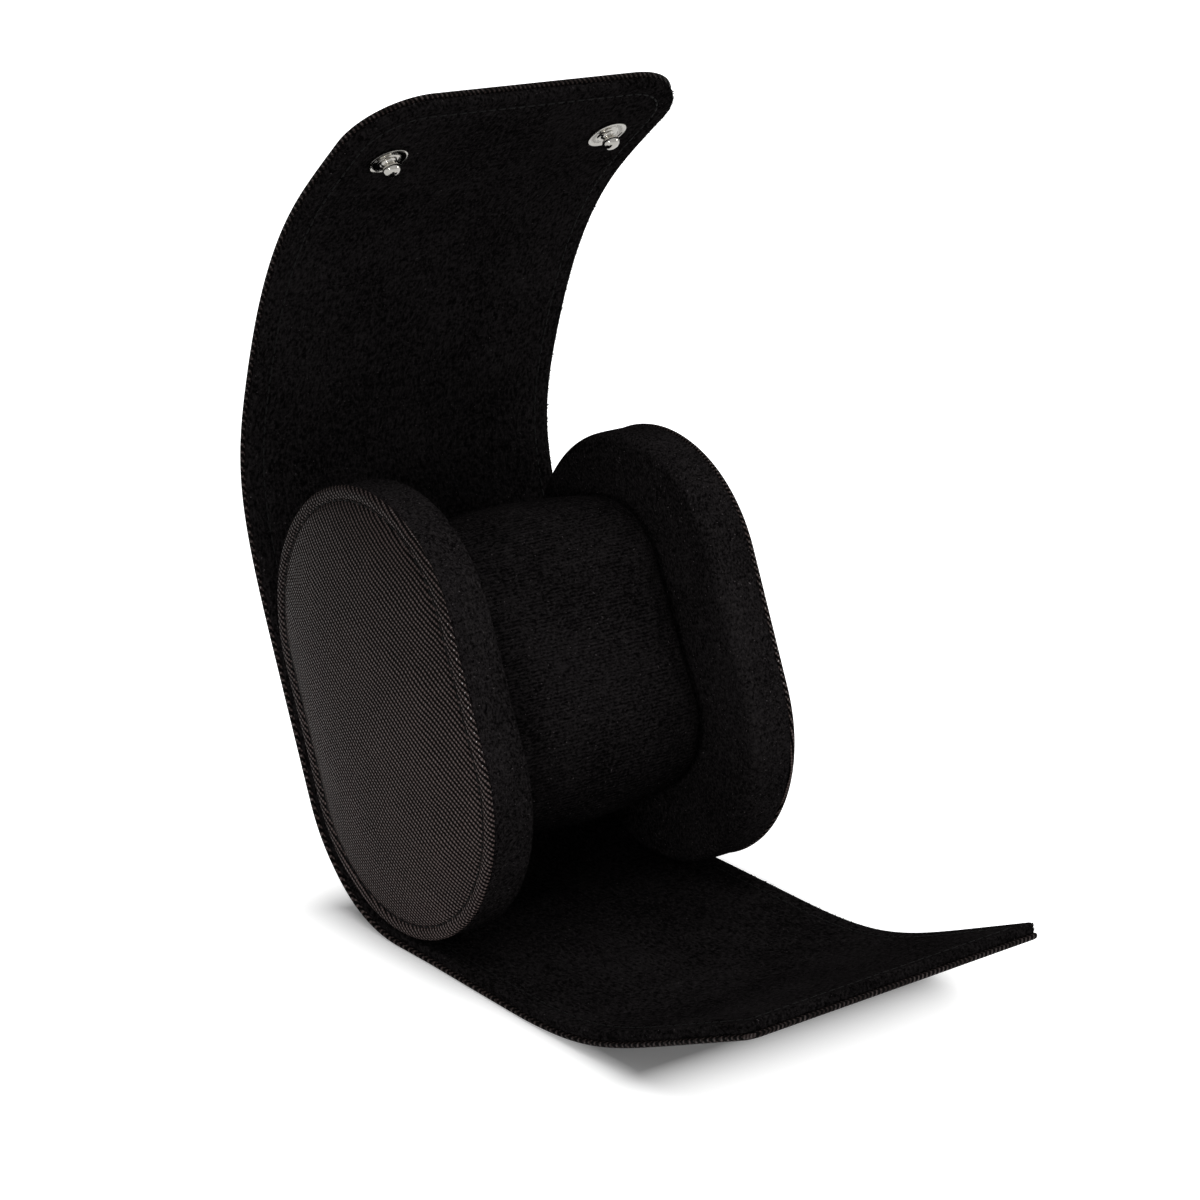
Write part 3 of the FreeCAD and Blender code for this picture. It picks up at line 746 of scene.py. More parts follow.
class ROLL_OT_cap_faces(bpy.types.Operator):
    """Model the padded leather faces on the outside of both end caps"""

    bl_idname = "roll.cap_faces"
    bl_label = "Cap faces"

    def execute(self, context):
        settings = context.scene.roll_caps
        rim, soft, groove, collar = settings.rim, settings.rim_round, settings.groove, settings.collar
        edge = CAP_RADIUS + settings.proud
        seam = CAP_RADIUS - settings.stitch_inset
        foot = seam - SEAM_HALF
        under = CAP_RADIUS - TURN_IN
        start = collar + 0.4 * MM
        profile = [
            (under - UNDER_RIM, 0.0),
            (under, 0.0),
            (under, collar),
            (edge - 0.35 * MM, collar),
            (edge - 0.08 * MM, collar + 0.2 * MM),
        ]
        for turn in np.radians((0, 18, 36, 54, 72)):
            profile.append((edge - soft * (1 - math.cos(turn)), start + (rim - start) * math.sin(turn)))
        profile += [
            (edge - soft - 0.25 * MM, rim),
            (seam + SEAM_HALF, rim - 0.1 * groove),
            (seam + SEAM_HALF / 2, rim - 0.6 * groove),
            (seam, rim - groove),
            (seam - 0.3 * MM, rim - 0.6 * groove),
        ]
        for part in np.linspace(1, DOME_EYE, DOME_RINGS):
            rise = (DOME_DEPTH - rim) * (1 - part ** settings.fullness)
            profile.append((foot * part, rim + rise))
        for side in SIDES:
            face, flat = stadium_shell(f"{side}_cap_face", profile, CAP_STRAIGHT, settings.around)
            keep_pattern(face, flat)
            stand(face, CAP_SEATS[side], OUTWARD[side])
            outside_out(face)
            nodes = (f"{side}_cap_leather", f"{side}_cap_pad")
            dress(face, leather_finish(), "case", nodes)
        return {"FINISHED"}


class ROLL_OT_cap_suede(bpy.types.Operator):
    """Model the suede edge and inner face of both end caps"""

    bl_idname = "roll.cap_suede"
    bl_label = "Cap suede"

    def execute(self, context):
        settings = context.scene.roll_caps
        edge, deep, soft, collar = CAP_RADIUS, CAP_DEPTH, settings.suede_round, settings.collar
        under = edge - TURN_IN + SKIN
        profile = [
            (under - UNDER_RIM, SKIN),
            (under, SKIN),
            (under, SKIN - collar),
            (edge - 0.35 * MM, SKIN - collar),
            (edge - 0.15 * MM, 0.3 * MM - collar),
            (edge - 0.08 * MM, 0.5 * MM),
            (edge - 0.08 * MM, deep / 2),
            (edge - 0.1 * MM, deep - soft - 0.6 * MM),
        ]
        for turn in np.radians((8, 25, 45, 65, 82)):
            radius = edge - 0.15 * MM - soft * (1 - math.cos(turn))
            profile.append((radius, deep - soft + soft * math.sin(turn)))
        for part in np.linspace(0.97, 0.04, INNER_RINGS):
            profile.append(((edge - soft - 0.5 * MM) * part, deep))
        for side in SIDES:
            suede, flat = stadium_shell(f"{side}_cap_suede", profile, CAP_STRAIGHT, settings.around)
            keep_pattern(suede, flat)
            stand(suede, CAP_SEATS[side], -OUTWARD[side])
            outside_out(suede)
            nodes = (f"{side}_cap_lining", f"{side}_cap_band", f"{side}_cap_board")
            dress(suede, suede_finish("cap_suede"), "case", nodes)
        return {"FINISHED"}


# The cover swells at ten times its size, at which the cloth's forces suit it.
CLOTH_SCALE = 10.0
CLOTH_QUALITY = 6
CLOTH_FRAMES = 20


def swell(obj, settings):
    """Fill a cover with air as cloth, no further than the most that a point may move."""
    start_on(obj)
    obj.data.remesh_voxel_size = settings.voxel
    bpy.ops.object.voxel_remesh()
    set_points(obj, points(obj) * CLOTH_SCALE)
    before = points(obj)
    cloth = obj.modifiers.new("Cloth", "CLOTH")
    cloth.settings.use_pressure = True
    cloth.settings.uniform_pressure_force = settings.pressure
    cloth.settings.effector_weights.gravity = 0
    cloth.settings.quality = CLOTH_QUALITY
    scene = bpy.context.scene
    for number in range(1, CLOTH_FRAMES + 1):
        scene.frame_set(number)
    start_on(obj)
    bpy.ops.object.modifier_apply(modifier="Cloth")
    scene.frame_set(1)
    move = points(obj) - before
    far = np.linalg.norm(move, axis=1, keepdims=True)
    most = settings.swell * CLOTH_SCALE
    set_points(obj, (before + move * np.minimum(1, most / np.maximum(far, 1e-9))) / CLOTH_SCALE)


# Rings from the cushion's middle to its end, and on the end as shares of its radius; how far the end's
# edge is drawn in as a share of its rounding; and how much of its depth shows in the pattern.
CROWN_RINGS = 15
END_RINGS = (0.9, 0.7, 0.45, 0.2, 0.05)
END_DRAW = 0.8
CUSHION_AROUND = 120
PATTERN_DEEP = 0.2


class ROLL_OT_cushion(bpy.types.Operator):
    """Model the suede cushion, full in the middle and drawn in at both ends"""

    bl_idname = "roll.cushion"
    bl_label = "Cushion"

    def execute(self, context):
        settings = context.scene.roll_cushion
        inset = settings.start_inset
        soft = settings.edge_round
        half = CUSHION_HALF - inset
        side = []
        for along in np.sin(np.linspace(0, math.pi / 2, CROWN_RINGS)):
            height = along * half
            crown = CUSHION_RADIUS - (CUSHION_RADIUS - CUSHION_END_RADIUS) * along**2
            over = max(0.0, height - (half - soft)) / soft
            drawn = soft * END_DRAW * (1 - math.sqrt(max(0.0, 1 - over**2)))
            side.append((crown - inset - drawn, height))
        end = side[-1][0]
        side += [(end * part, half) for part in END_RINGS]
        profile = [(radius, -height) for radius, height in side[:0:-1]] + side
        cushion, _ = stadium_shell("cushion_pillow", profile, CUSHION_STRAIGHT, CUSHION_AROUND)
        swell(cushion, settings)
        flat = points(cushion)
        forward = np.clip(-flat[:, 0] / CUSHION_RADIUS, 0, 1)
        low = np.clip(0.5 - flat[:, 1] / CUSHION_STRAIGHT, 0, 1)
        flat[:, 0] -= settings.belly * forward * low
        set_points(cushion, flat)
        straight = np.clip(flat[:, 1], -CUSHION_STRAIGHT / 2, CUSHION_STRAIGHT / 2)
        bend = np.arctan2(flat[:, 1] - straight, np.abs(flat[:, 0]))
        reach = np.hypot(flat[:, 1] - straight, flat[:, 0])
        across = flat[:, 2] + np.sign(flat[:, 2]) * np.maximum(0, CUSHION_END_RADIUS - reach)
        keep_pattern(cushion, np.stack([across, straight + reach * bend, flat[:, 0] * PATTERN_DEEP], -1))
        stand(cushion, CUSHION_CENTRE, RIGHT)
        outside_out(cushion)
        start_on(cushion)
        bpy.ops.object.modifier_add(type="SUBSURF")
        cushion.modifiers[-1].levels = 1
        cushion.modifiers[-1].render_levels = 1
        bpy.ops.object.modifier_apply(modifier=cushion.modifiers[-1].name)
        nodes = ("cushion_cover", "cushion_core", "cushion_end_left", "cushion_end_right")
        dress(cushion, suede_finish("cushion_suede"), "cushion", nodes)
        return {"FINISHED"}


class Section:
    """One length of the wrap, from the middle of one panel to the middle of the next."""

    def __init__(self, name, path, low, high, tip=None, corner=0.0, crease=None, nodes=()):
        self.name = name
        self.path = path
        self.low = low
        self.high = high
        self.tip = tip
        self.corner = corner
        self.crease = crease
        self.nodes = nodes

    def inside(self, across, along):
        """How far places of the flat pattern lie inside the leather's outline."""
        aside = WRAP_HALF - np.abs(across)
        if self.tip is None:
            return aside
        ahead = self.tip - along
        round_in = self.corner - np.hypot(self.corner - aside, self.corner - ahead)
        at_corner = (aside < self.corner) & (ahead < self.corner)
        return np.where(at_corner, round_in, np.minimum(aside, ahead))

    def holds(self, spots):
        """Which places of the flat pattern lie on this length."""
        return (spots[:, 1] >= self.low) & (spots[:, 1] < self.high)

    def half_width(self, along, inset):
        """Half the width at distances along the path, a distance inside the leather's outline."""
        half = np.full(along.shape, WRAP_HALF - inset)
        if self.tip is None:
            return half
        turn = self.corner - inset
        past = np.clip(along - (self.tip - self.corner), 0, turn)
        return half - turn + np.sqrt(turn**2 - past**2)


def sections(settings):
    """All lengths of the wrap: the back, and one for each crease of the two flaps."""
    corners = {"top": settings.top_corner, "front": settings.front_corner}
    found = []
    reach = {}
    for flap, path in FLAPS.items():
        starts = path.lengths
        last = len(starts) - 1
        reach[flap] = (starts[1] - starts[0]) / 2
        for number in range(1, last + 1):
            begin = starts[number - 1]
            low = begin - (begin - starts[number - 2]) / 2 if number > 1 else begin - reach[flap]
            ends = number == last
            high = path.lengths[-1] if ends else (begin + starts[number]) / 2
            found.append(
                Section(
                    f"{flap}_{number}",
                    path,
                    low,
                    high,
                    tip=high if ends else None,
                    corner=corners[flap],
                    crease=f"{flap}_crease_{number}",
                    nodes=(flap, number),
                )
            )
    end = BACK.lengths[-1] - reach["front"]
    found.append(Section("back", BACK, reach["top"], end, nodes=("back", None)))
    return found


def pattern_along(section, along):
    """Distance along the whole wrap, so that the grain runs on from length to length."""
    if section.path is TOP:
        return along
    if section.path is BACK:
        return -along
    return -BACK.lengths[-1] - along


def slanted(section, flat, settings):
    """The top flap's right edge flares, and the front flap lies a little askew, so its left corner leads."""
    flat = flat.copy()
    side = flat[:, 0] / WRAP_HALF
    ramp = np.clip(flat[:, 1] / section.path.lengths[-1], 0, 1)
    if section.path is TOP:
        flat[:, 0] += settings.top_flare * np.clip(side, 0, 1) * ramp**2
    if section.path is FRONT:
        flat[:, 1] -= side * settings.front_slant * ramp**2
        flat[:, 0] -= settings.front_shift * np.minimum(1, 3 * ramp)
    return flat


def twisted(path, across, along, settings):
    """How far the top flap stands off its line: its left corner lies back, its right one hangs forward."""
    if path is not TOP:
        return 0.0 * across
    side = across / WRAP_HALF
    rise = np.clip(along / TOP.lengths[-1], 0, 1)
    return (settings.top_back * (1 - side) / 2 - settings.top_hang * (1 + side) / 2) * rise**1.5


def form(obj, section, settings):
    """Bend a piece from its flat pattern, across, along and deep, on to the wrap's line."""
    flat = slanted(section, points(obj), settings)
    spots, headings = section.path.at(flat[:, 1])
    out = section.path.way * np.stack([np.sin(headings), -np.cos(headings)], -1)
    deep = flat[:, 2] + twisted(section.path, flat[:, 0], flat[:, 1], settings)
    places = spots + out * deep[:, None]
    set_points(obj, np.column_stack([flat[:, 0], places]))


def follow(obj, section, settings):
    """Ride on the case; a piece at a crease only has its place baked in and rides on no body."""
    if section.crease is None:
        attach(obj, "case")
        return
    path = section.path
    begin = path.lengths[int(section.crease[-1]) - 1]
    ends = (path.point(begin - settings.bend_reach), path.point(begin + settings.bend_reach))
    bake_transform(obj)


# Rows of cells at a flap's rounded tip and on the shortest length, and the share of a layer's thickness
# that is left at its edge.
TIP_ROWS = 56
LEAST_ROWS = 4
EDGE_THIN = 0.22
BORE_SIDES = 48


def wrap_layer(name, section, inset, low, high, edge, face, settings):
    """One layer of a length, cut flat with soft edges and a seam drawn in on one face, then bent."""
    end = section.high - inset if section.tip else section.high
    rows = TIP_ROWS if section.tip else max(LEAST_ROWS, round((section.high - section.low) / settings.cell))
    bpy.ops.object.select_all(action="DESELECT")
    bpy.ops.mesh.primitive_grid_add(x_subdivisions=settings.across, y_subdivisions=rows, size=2)
    obj = added(name)
    edit_all(obj)
    bpy.ops.mesh.extrude_region_move(TRANSFORM_OT_translate={"value": (0, 0, 1)})
    bpy.ops.object.mode_set(mode="OBJECT")
    across, along, layer = points(obj).T
    along = (along + 1) / 2
    if section.tip:
        along = np.sin(along * math.pi / 2)
    along = section.low + along * (end - section.low)
    across = np.sin(across * math.pi / 2) * section.half_width(along, inset)
    inside = section.inside(across, along)
    part = np.clip((inside - inset) / edge, 0, 1)
    swell_out = EDGE_THIN + (1 - EDGE_THIN) * np.sqrt(1 - (1 - part) ** 2)
    middle = (low + high) / 2
    depth = middle + (layer - 0.5) * (high - low) * swell_out
    drawn = np.exp(-(((inside - settings.stitch_inset) / settings.seam_width) ** 2)) * settings.groove
    depth = np.where((layer > 0.5) == (face > 0), depth - face * drawn, depth)
    set_points(obj, np.column_stack([across, along, depth]))
    keep_pattern(obj, np.column_stack([across, pattern_along(section, along), depth]))
    form(obj, section, settings)
    outside_out(obj)
    return obj


def cut_bores(leather):
    """Cut the round holes in which the sockets sit, so that the studs can go in."""
    for side in SIDES:
        bpy.ops.mesh.primitive_cylinder_add(vertices=BORE_SIDES, radius=BORE_RADIUS, depth=2 * WRAP_DEPTH)
        drill = added(f"drill_{side}")
        drill.data.transform(snap_place(f"socket_{side}", FRONT, SOCKET_PANEL, True))
        start_on(leather)
        cut = leather.modifiers.new("bore", "BOOLEAN")
        cut.operation = "DIFFERENCE"
        cut.solver = "EXACT"
        cut.object = drill
        bpy.ops.object.modifier_apply(modifier=cut.name)
        bpy.data.objects.remove(drill)


class ROLL_OT_wrap(bpy.types.Operator):
    """Model the leather and the suede lining of the wrap, length by length"""

    bl_idname = "roll.wrap"
    bl_label = "Wrap"

    def execute(self, context):
        settings = context.scene.roll_wrap
        middle = settings.lining_depth
        for section in sections(settings):
            group, number = section.nodes
            ending = "" if number is None else f"_{number}"
            leather = wrap_layer(
                f"wrap_leather_{section.name}",
                section,
                0.0,
                middle,
                WRAP_DEPTH,
                settings.leather_edge,
                1,
                settings,
            )
            if section.path is FRONT and section.tip:
                cut_bores(leather)
            dress(leather, leather_finish(), None, [f"{group}_leather{ending}"])
            follow(leather, section, settings)
            nodes = [f"{group}_lining{ending}", f"{group}_board{ending}"]
            washers = [f"{kind}_washer_{side}" for kind in ("stud", "socket") for side in SIDES]
            body = f"{group}_panel{ending}"
            nodes += [washer for washer in washers if frame["nodes"][washer]["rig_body"] == body]
            lining = wrap_layer(
                f"wrap_lining_{section.name}",
                section,
                settings.lining_inset,
                0.0,
                middle,
                settings.lining_edge,
                -1,
                settings,
            )
            dress(lining, suede_finish("lining_suede"), None, nodes)
            follow(lining, section, settings)
        return {"FINISHED"}


# A stitch has blunter ends than an egg and arches by a share of its thickness.
STITCH_BLUNT = 0.6
STITCH_ARCH = 0.1


def one_stitch(settings):
    """The points and faces of one stitch, lying along y."""
    bpy.ops.object.select_all(action="DESELECT")
    bpy.ops.mesh.primitive_uv_sphere_add(segments=8, ring_count=6, radius=0.5)
    obj = added("one_stitch")
    shape = points(obj)[:, [0, 2, 1]]
    shape[:, 1] = np.sign(shape[:, 1]) * np.abs(2 * shape[:, 1]) ** STITCH_BLUNT / 2
    shape *= (settings.thick, settings.long, settings.thick)
    shape[:, 2] += (1 - (2 * shape[:, 1] / settings.long) ** 2) * STITCH_ARCH * settings.thick
    faces = [tuple(face.vertices) for face in obj.data.polygons]
    bpy.data.objects.remove(obj)
    return shape, faces


def sew(name, seams, settings):
    """A row of stitches as one piece: each seam is a list of places, directions and a height."""
    shape, faces = one_stitch(settings)
    places, all_faces = [], []
    for spots, ways, height in seams:
        for spot, way in zip(spots, ways):
            turn = np.array([[math.cos(way), -math.sin(way)], [math.sin(way), math.cos(way)]])
            placed = np.column_stack([shape[:, :2] @ turn.T + spot, shape[:, 2] + height])
            start = len(places) * len(shape)
            all_faces += [tuple(start + corner for corner in face) for face in faces]
            places.append(placed)
    return mesh_object(name, np.concatenate(places).tolist(), [], all_faces)


LEAST_TURN = 0.8 * MM


def flap_seam(path, half, inset, corner, pitch):
    """Stitch places and directions round a flap: up one side, round its tip and down the other."""
    side = half - inset
    turn = max(corner - inset, LEAST_TURN)
    tip = path.lengths[-1] - inset
    straight = tip - turn
    arc = turn * math.pi / 2
    whole = 2 * (straight + arc + side - turn)
    number = round(whole / pitch)
    spots, ways = [], []
    for along in (np.arange(number) + 0.5) * whole / number:
        mirror = along > whole / 2
        near = min(along, whole - along)
        if near < straight:
            spot, way = (side, near), 0.0
        elif near < straight + arc:
            bend = (near - straight) / turn
            spot, way = (side - turn + turn * math.cos(bend), straight + turn * math.sin(bend)), bend
        else:
            spot, way = (side - turn - (near - straight - arc), tip), math.pi / 2
        spots.append((-spot[0], spot[1]) if mirror else spot)
        ways.append(-way if mirror else way)
    return np.array(spots), np.array(ways)


# A fibre is a spike of four faces. It strays from square to the edge by an angle, starts at a share of the
# lining's depth and has a share of the full length.
SPIKE = ((0, 2, 1), (0, 1, 3), (1, 2, 3), (2, 0, 3))
FIBRE_STRAY = 0.5
FIBRE_ROOTS = (0.1, 0.75)
FIBRE_LENGTHS = (0.45, 1.25)
FIBRE_ASIDE = (0.3, 0.2, 0.9)


def fibres(name, spots, ways, settings, seed):
    """Short fibres that stand out of the lining's edge, as one piece in the flat pattern."""
    chance = np.random.default_rng(seed)
    number = len(spots)
    side = np.where(spots[:, 0] < 0, -1.0, 1.0)
    lean = np.abs(ways) + chance.normal(0, FIBRE_STRAY, number)
    rise = chance.normal(0, FIBRE_STRAY, number)
    out = np.stack([side * np.cos(lean) * np.cos(rise), np.sin(lean) * np.cos(rise), np.sin(rise)], -1)
    root = np.column_stack([spots, chance.uniform(*FIBRE_ROOTS, number) * settings.lining_depth])
    root -= out * settings.fibre_thick
    first = np.cross(out, FIBRE_ASIDE)
    first /= np.linalg.norm(first, axis=1, keepdims=True)
    second = np.cross(out, first)
    long = settings.fibre_long * chance.uniform(*FIBRE_LENGTHS, number)[:, None]
    corners = [
        root + settings.fibre_thick * (math.cos(turn) * first + math.sin(turn) * second)
        for turn in (0, 2 * math.pi / 3, 4 * math.pi / 3)
    ]
    places = np.stack([*corners, root + out * long], 1).reshape(-1, 3)
    faces = [(4 * n + a, 4 * n + b, 4 * n + c) for n in range(number) for a, b, c in SPIKE]
    return mesh_object(name, places.tolist(), [], faces)


def wrap_rows(wrap, inset, pitch):
    """Places and directions along the whole wrap, a distance inside its outline: one row for each path."""
    rows = {}
    for flap, path in FLAPS.items():
        corner = wrap.top_corner if flap == "top" else wrap.front_corner
        rows[path] = flap_seam(path, WRAP_HALF, inset, corner, pitch)
    number = round(BACK.lengths[-1] / pitch)
    along = (np.arange(number) + 0.5) / number * BACK.lengths[-1]
    aside = np.full(number, WRAP_HALF - inset)
    both = np.concatenate([np.stack([aside, along], -1), np.stack([-aside, along], -1)])
    rows[BACK] = both, np.zeros(len(both))
    return rows


def lay_on(obj, section, finish, settings):
    """Bend a flat row of fibres or stitches on to its length of the wrap, finish it and let it follow."""
    keep_pattern(obj)
    form(obj, section, settings)
    outside_out(obj)
    dress(obj, finish)
    follow(obj, section, settings)


class ROLL_OT_nap(bpy.types.Operator):
    """Let the lining's nap stand out along the edges of the wrap"""

    bl_idname = "roll.nap"
    bl_label = "Nap"

    def execute(self, context):
        wrap = context.scene.roll_wrap
        rows = wrap_rows(wrap, wrap.lining_inset, wrap.fibre_pitch)
        for number, section in enumerate(sections(wrap)):
            spots, ways = rows[section.path]
            here = section.holds(spots)
            nap = fibres(f"wrap_nap_{section.name}", spots[here], ways[here], wrap, number)
            lay_on(nap, section, suede_finish("lining_suede"), wrap)
        return {"FINISHED"}


class ROLL_OT_stitches(bpy.types.Operator):
    """Sew the seams of the end caps and of the wrap"""

    bl_idname = "roll.stitches"
    bl_label = "Stitches"

    def execute(self, context):
        settings = context.scene.roll_stitch
        caps = context.scene.roll_caps
        wrap = context.scene.roll_wrap
        radius = CAP_RADIUS - caps.stitch_inset
        number = round(round_stadium([0], radius, CAP_STRAIGHT)[2] / settings.pitch)
        way, spine, _ = round_stadium(np.arange(number) / number, radius, CAP_STRAIGHT)
        spots = np.stack([radius * np.cos(way), spine + radius * np.sin(way)], -1)
        seam = (spots, way, caps.rim - caps.groove + settings.sink)
        for side in SIDES:
            row = sew(f"{side}_cap_stitches", [seam], settings)
            keep_pattern(row)
            stand(row, CAP_SEATS[side], OUTWARD[side])
            outside_out(row)
            dress(row, thread_finish(), "case")
        rows = wrap_rows(wrap, wrap.stitch_inset, settings.pitch)
        faces = (wrap.groove - settings.sink, WRAP_DEPTH - wrap.groove + settings.sink)
        for section in sections(wrap):
            spots, ways = rows[section.path]
            here = section.holds(spots)
            seams = [(spots[here], ways[here], height) for height in faces]
            row = sew(f"wrap_stitches_{section.name}", seams, settings)
            lay_on(row, section, thread_finish(), wrap)
        return {"FINISHED"}


WELD = 0.005 * MM


def turned(name, profile, steps):
    """A piece turned on a lathe from a profile of radius and height."""
    spots = [(radius * MM, 0, height * MM) for radius, height in profile]
    obj = mesh_object(name, spots, [(n, n + 1) for n in range(len(spots) - 1)], [])
    edit_all(obj)
    bpy.ops.mesh.spin(steps=steps, angle=2 * math.pi, center=(0, 0, 0), axis=(0, 0, 1))
    bpy.ops.mesh.select_all(action="SELECT")
    bpy.ops.mesh.remove_doubles(threshold=WELD)
    bpy.ops.object.mode_set(mode="OBJECT")
    return obj


# Profiles of radius and height in millimetres, from the shank in the board over the flange to the top of
# the stud's head or the bottom of the socket's bore, and the ring of ribs on the stud's flange.
STUD_PROFILE = (
    (0.0, -1.6), (1.25, -1.6), (1.25, -0.02), (3.85, -0.02), (4.07, 0.07), (4.2, 0.27), (4.14, 0.5),
    (3.92, 0.61), (3.65, 0.56), (3.48, 0.41), (3.17, 0.32), (2.82, 0.32), (2.46, 0.36), (2.24, 0.5),
    (2.02, 0.65), (1.76, 0.67), (1.54, 0.6), (1.36, 0.72), (1.23, 0.9), (1.21, 1.22), (1.32, 1.44),
    (1.63, 1.62), (1.8, 1.9), (1.85, 2.2), (1.76, 2.6), (1.5, 3.06), (1.06, 3.42), (0.53, 3.57), (0.0, 3.6),
)
SOCKET_PROFILE = (
    (0.0, -2.0), (3.0, -2.0), (3.05, -0.02), (4.4, -0.02), (4.65, 0.08), (4.78, 0.3), (4.7, 0.55),
    (4.45, 0.68), (4.1, 0.7), (3.75, 0.78), (3.45, 1.0), (3.1, 1.16), (2.75, 1.18), (2.5, 1.08), (2.4, 0.9),
    (2.4, -1.2), (2.3, -1.6), (1.9, -1.75), (0.0, -1.8),
)
RIB_RING = (2.75, 3.25)
RIB_FOOT = 0.3 * MM
STUD_PANEL = len(TOP.lengths) - 1
SOCKET_PANEL = len(FRONT.lengths) - 2


def snap_place(node, path, number, outside):
    """The matrix that sets a snap on its panel, on the leather outside or on the lining."""
    begin = path.lengths[number - 1]
    start = path.point(begin)
    along = (path.point(begin + MM) - start).normalized()
    corners = np.array([v.co for v in frame["nodes"][node].data.vertices])
    run = (corners - np.array(start)) @ np.array(along)
    across = (corners[:, 0].min() + corners[:, 0].max()) / 2
    where = begin + (run.min() + run.max()) / 2
    out = path.outward(where)
    aside = twisted(path, across, where, bpy.context.scene.roll_wrap)
    origin = path.point(where) + RIGHT * across + out * float(aside)
    if outside:
        origin += out * WRAP_DEPTH
        axis = out
    else:
        axis = -out
    turn = Matrix((RIGHT, axis.cross(RIGHT), axis)).transposed().to_4x4()
    return Matrix.Translation(origin) @ turn


class ROLL_OT_snaps(bpy.types.Operator):
    """Turn the studs and sockets of the snaps"""

    bl_idname = "roll.snaps"
    bl_label = "Snaps"

    def execute(self, context):
        settings = context.scene.roll_snaps
        for side in SIDES:
            stud = turned(f"snap_stud_{side}", STUD_PROFILE, settings.steps)
            places = points(stud)
            radius = np.hypot(places[:, 0], places[:, 1]) / MM
            steps = np.rint(np.arctan2(places[:, 1], places[:, 0]) / (2 * math.pi) * settings.steps)
            on_ring = (radius > RIB_RING[0]) & (radius < RIB_RING[1]) & (places[:, 2] > RIB_FOOT)
            places[on_ring & (steps % 2 == 0), 2] += settings.ribs
            set_points(stud, places)
            self.fix(stud, f"stud_{side}", TOP, STUD_PANEL, False, "top_panel_6")
            socket = turned(f"snap_socket_{side}", SOCKET_PROFILE, settings.steps)
            self.fix(socket, f"socket_{side}", FRONT, SOCKET_PANEL, True, "front_panel_4")
        return {"FINISHED"}

    @staticmethod
    def fix(snap, node, path, number, outside, body):
        """Finish a snap and set it on its panel."""
        keep_pattern(snap)
        snap.data.transform(snap_place(node, path, number, outside))
        outside_out(snap)
        dress(snap, nickel_finish(), body, (node,))


# Stage. A light has a name, a place, a point that it faces, a size and a power.

LIGHTS = (
    ("top_light", (0.1, 0.1, 1.3), (0, 0, 0.05), 1.5, 10),
    ("left_light", (-1.0, -0.7, 0.3), (0, 0, 0.05), 0.15, 2.4),
    ("right_light", (1.2, -0.7, 0.35), (0, 0, 0.07), 0.2, 1.6),
)
WORLD_BACK = 0.05
WORLD_FRONT = 0.55
SENSOR = 36
NEAREST = 10 * MM
FLOOR_SIZE = 8


def area_light(name, place, target, size, power):
    """A square soft light that faces a point."""
    lamp = bpy.data.lights.new(name, "AREA")
    lamp.size = size
    lamp.energy = power
    obj = bpy.data.objects.new(name, lamp)
    obj.location = place
    obj.rotation_euler = (Vector(target) - Vector(place)).to_track_quat("-Z", "Y").to_euler()
    bpy.context.scene.collection.objects.link(obj)


# How far the roll's box reaches past its print on the floor: the front flap's tip and the back are lifted,
# the caps stand over the wrap's sides, and light gets under them. The floor's glow is painted down over the
# print and rises softly round it, a painted shadow that is deepest on the print and lies over the lamps'
# real shadows; the floor's glow, painted light, is weaker in reflections in the metal than to the camera.
LIFTED_TIP = 34 * MM
LIFTED_BACK = 32 * MM
OVERHANG = 7 * MM
SHADOW_REACH = 26 * MM
SHADOW_DEEP = 0.95
SHADOW_SOFT = 2.0
FLOOR_MIRRORED = 0.1


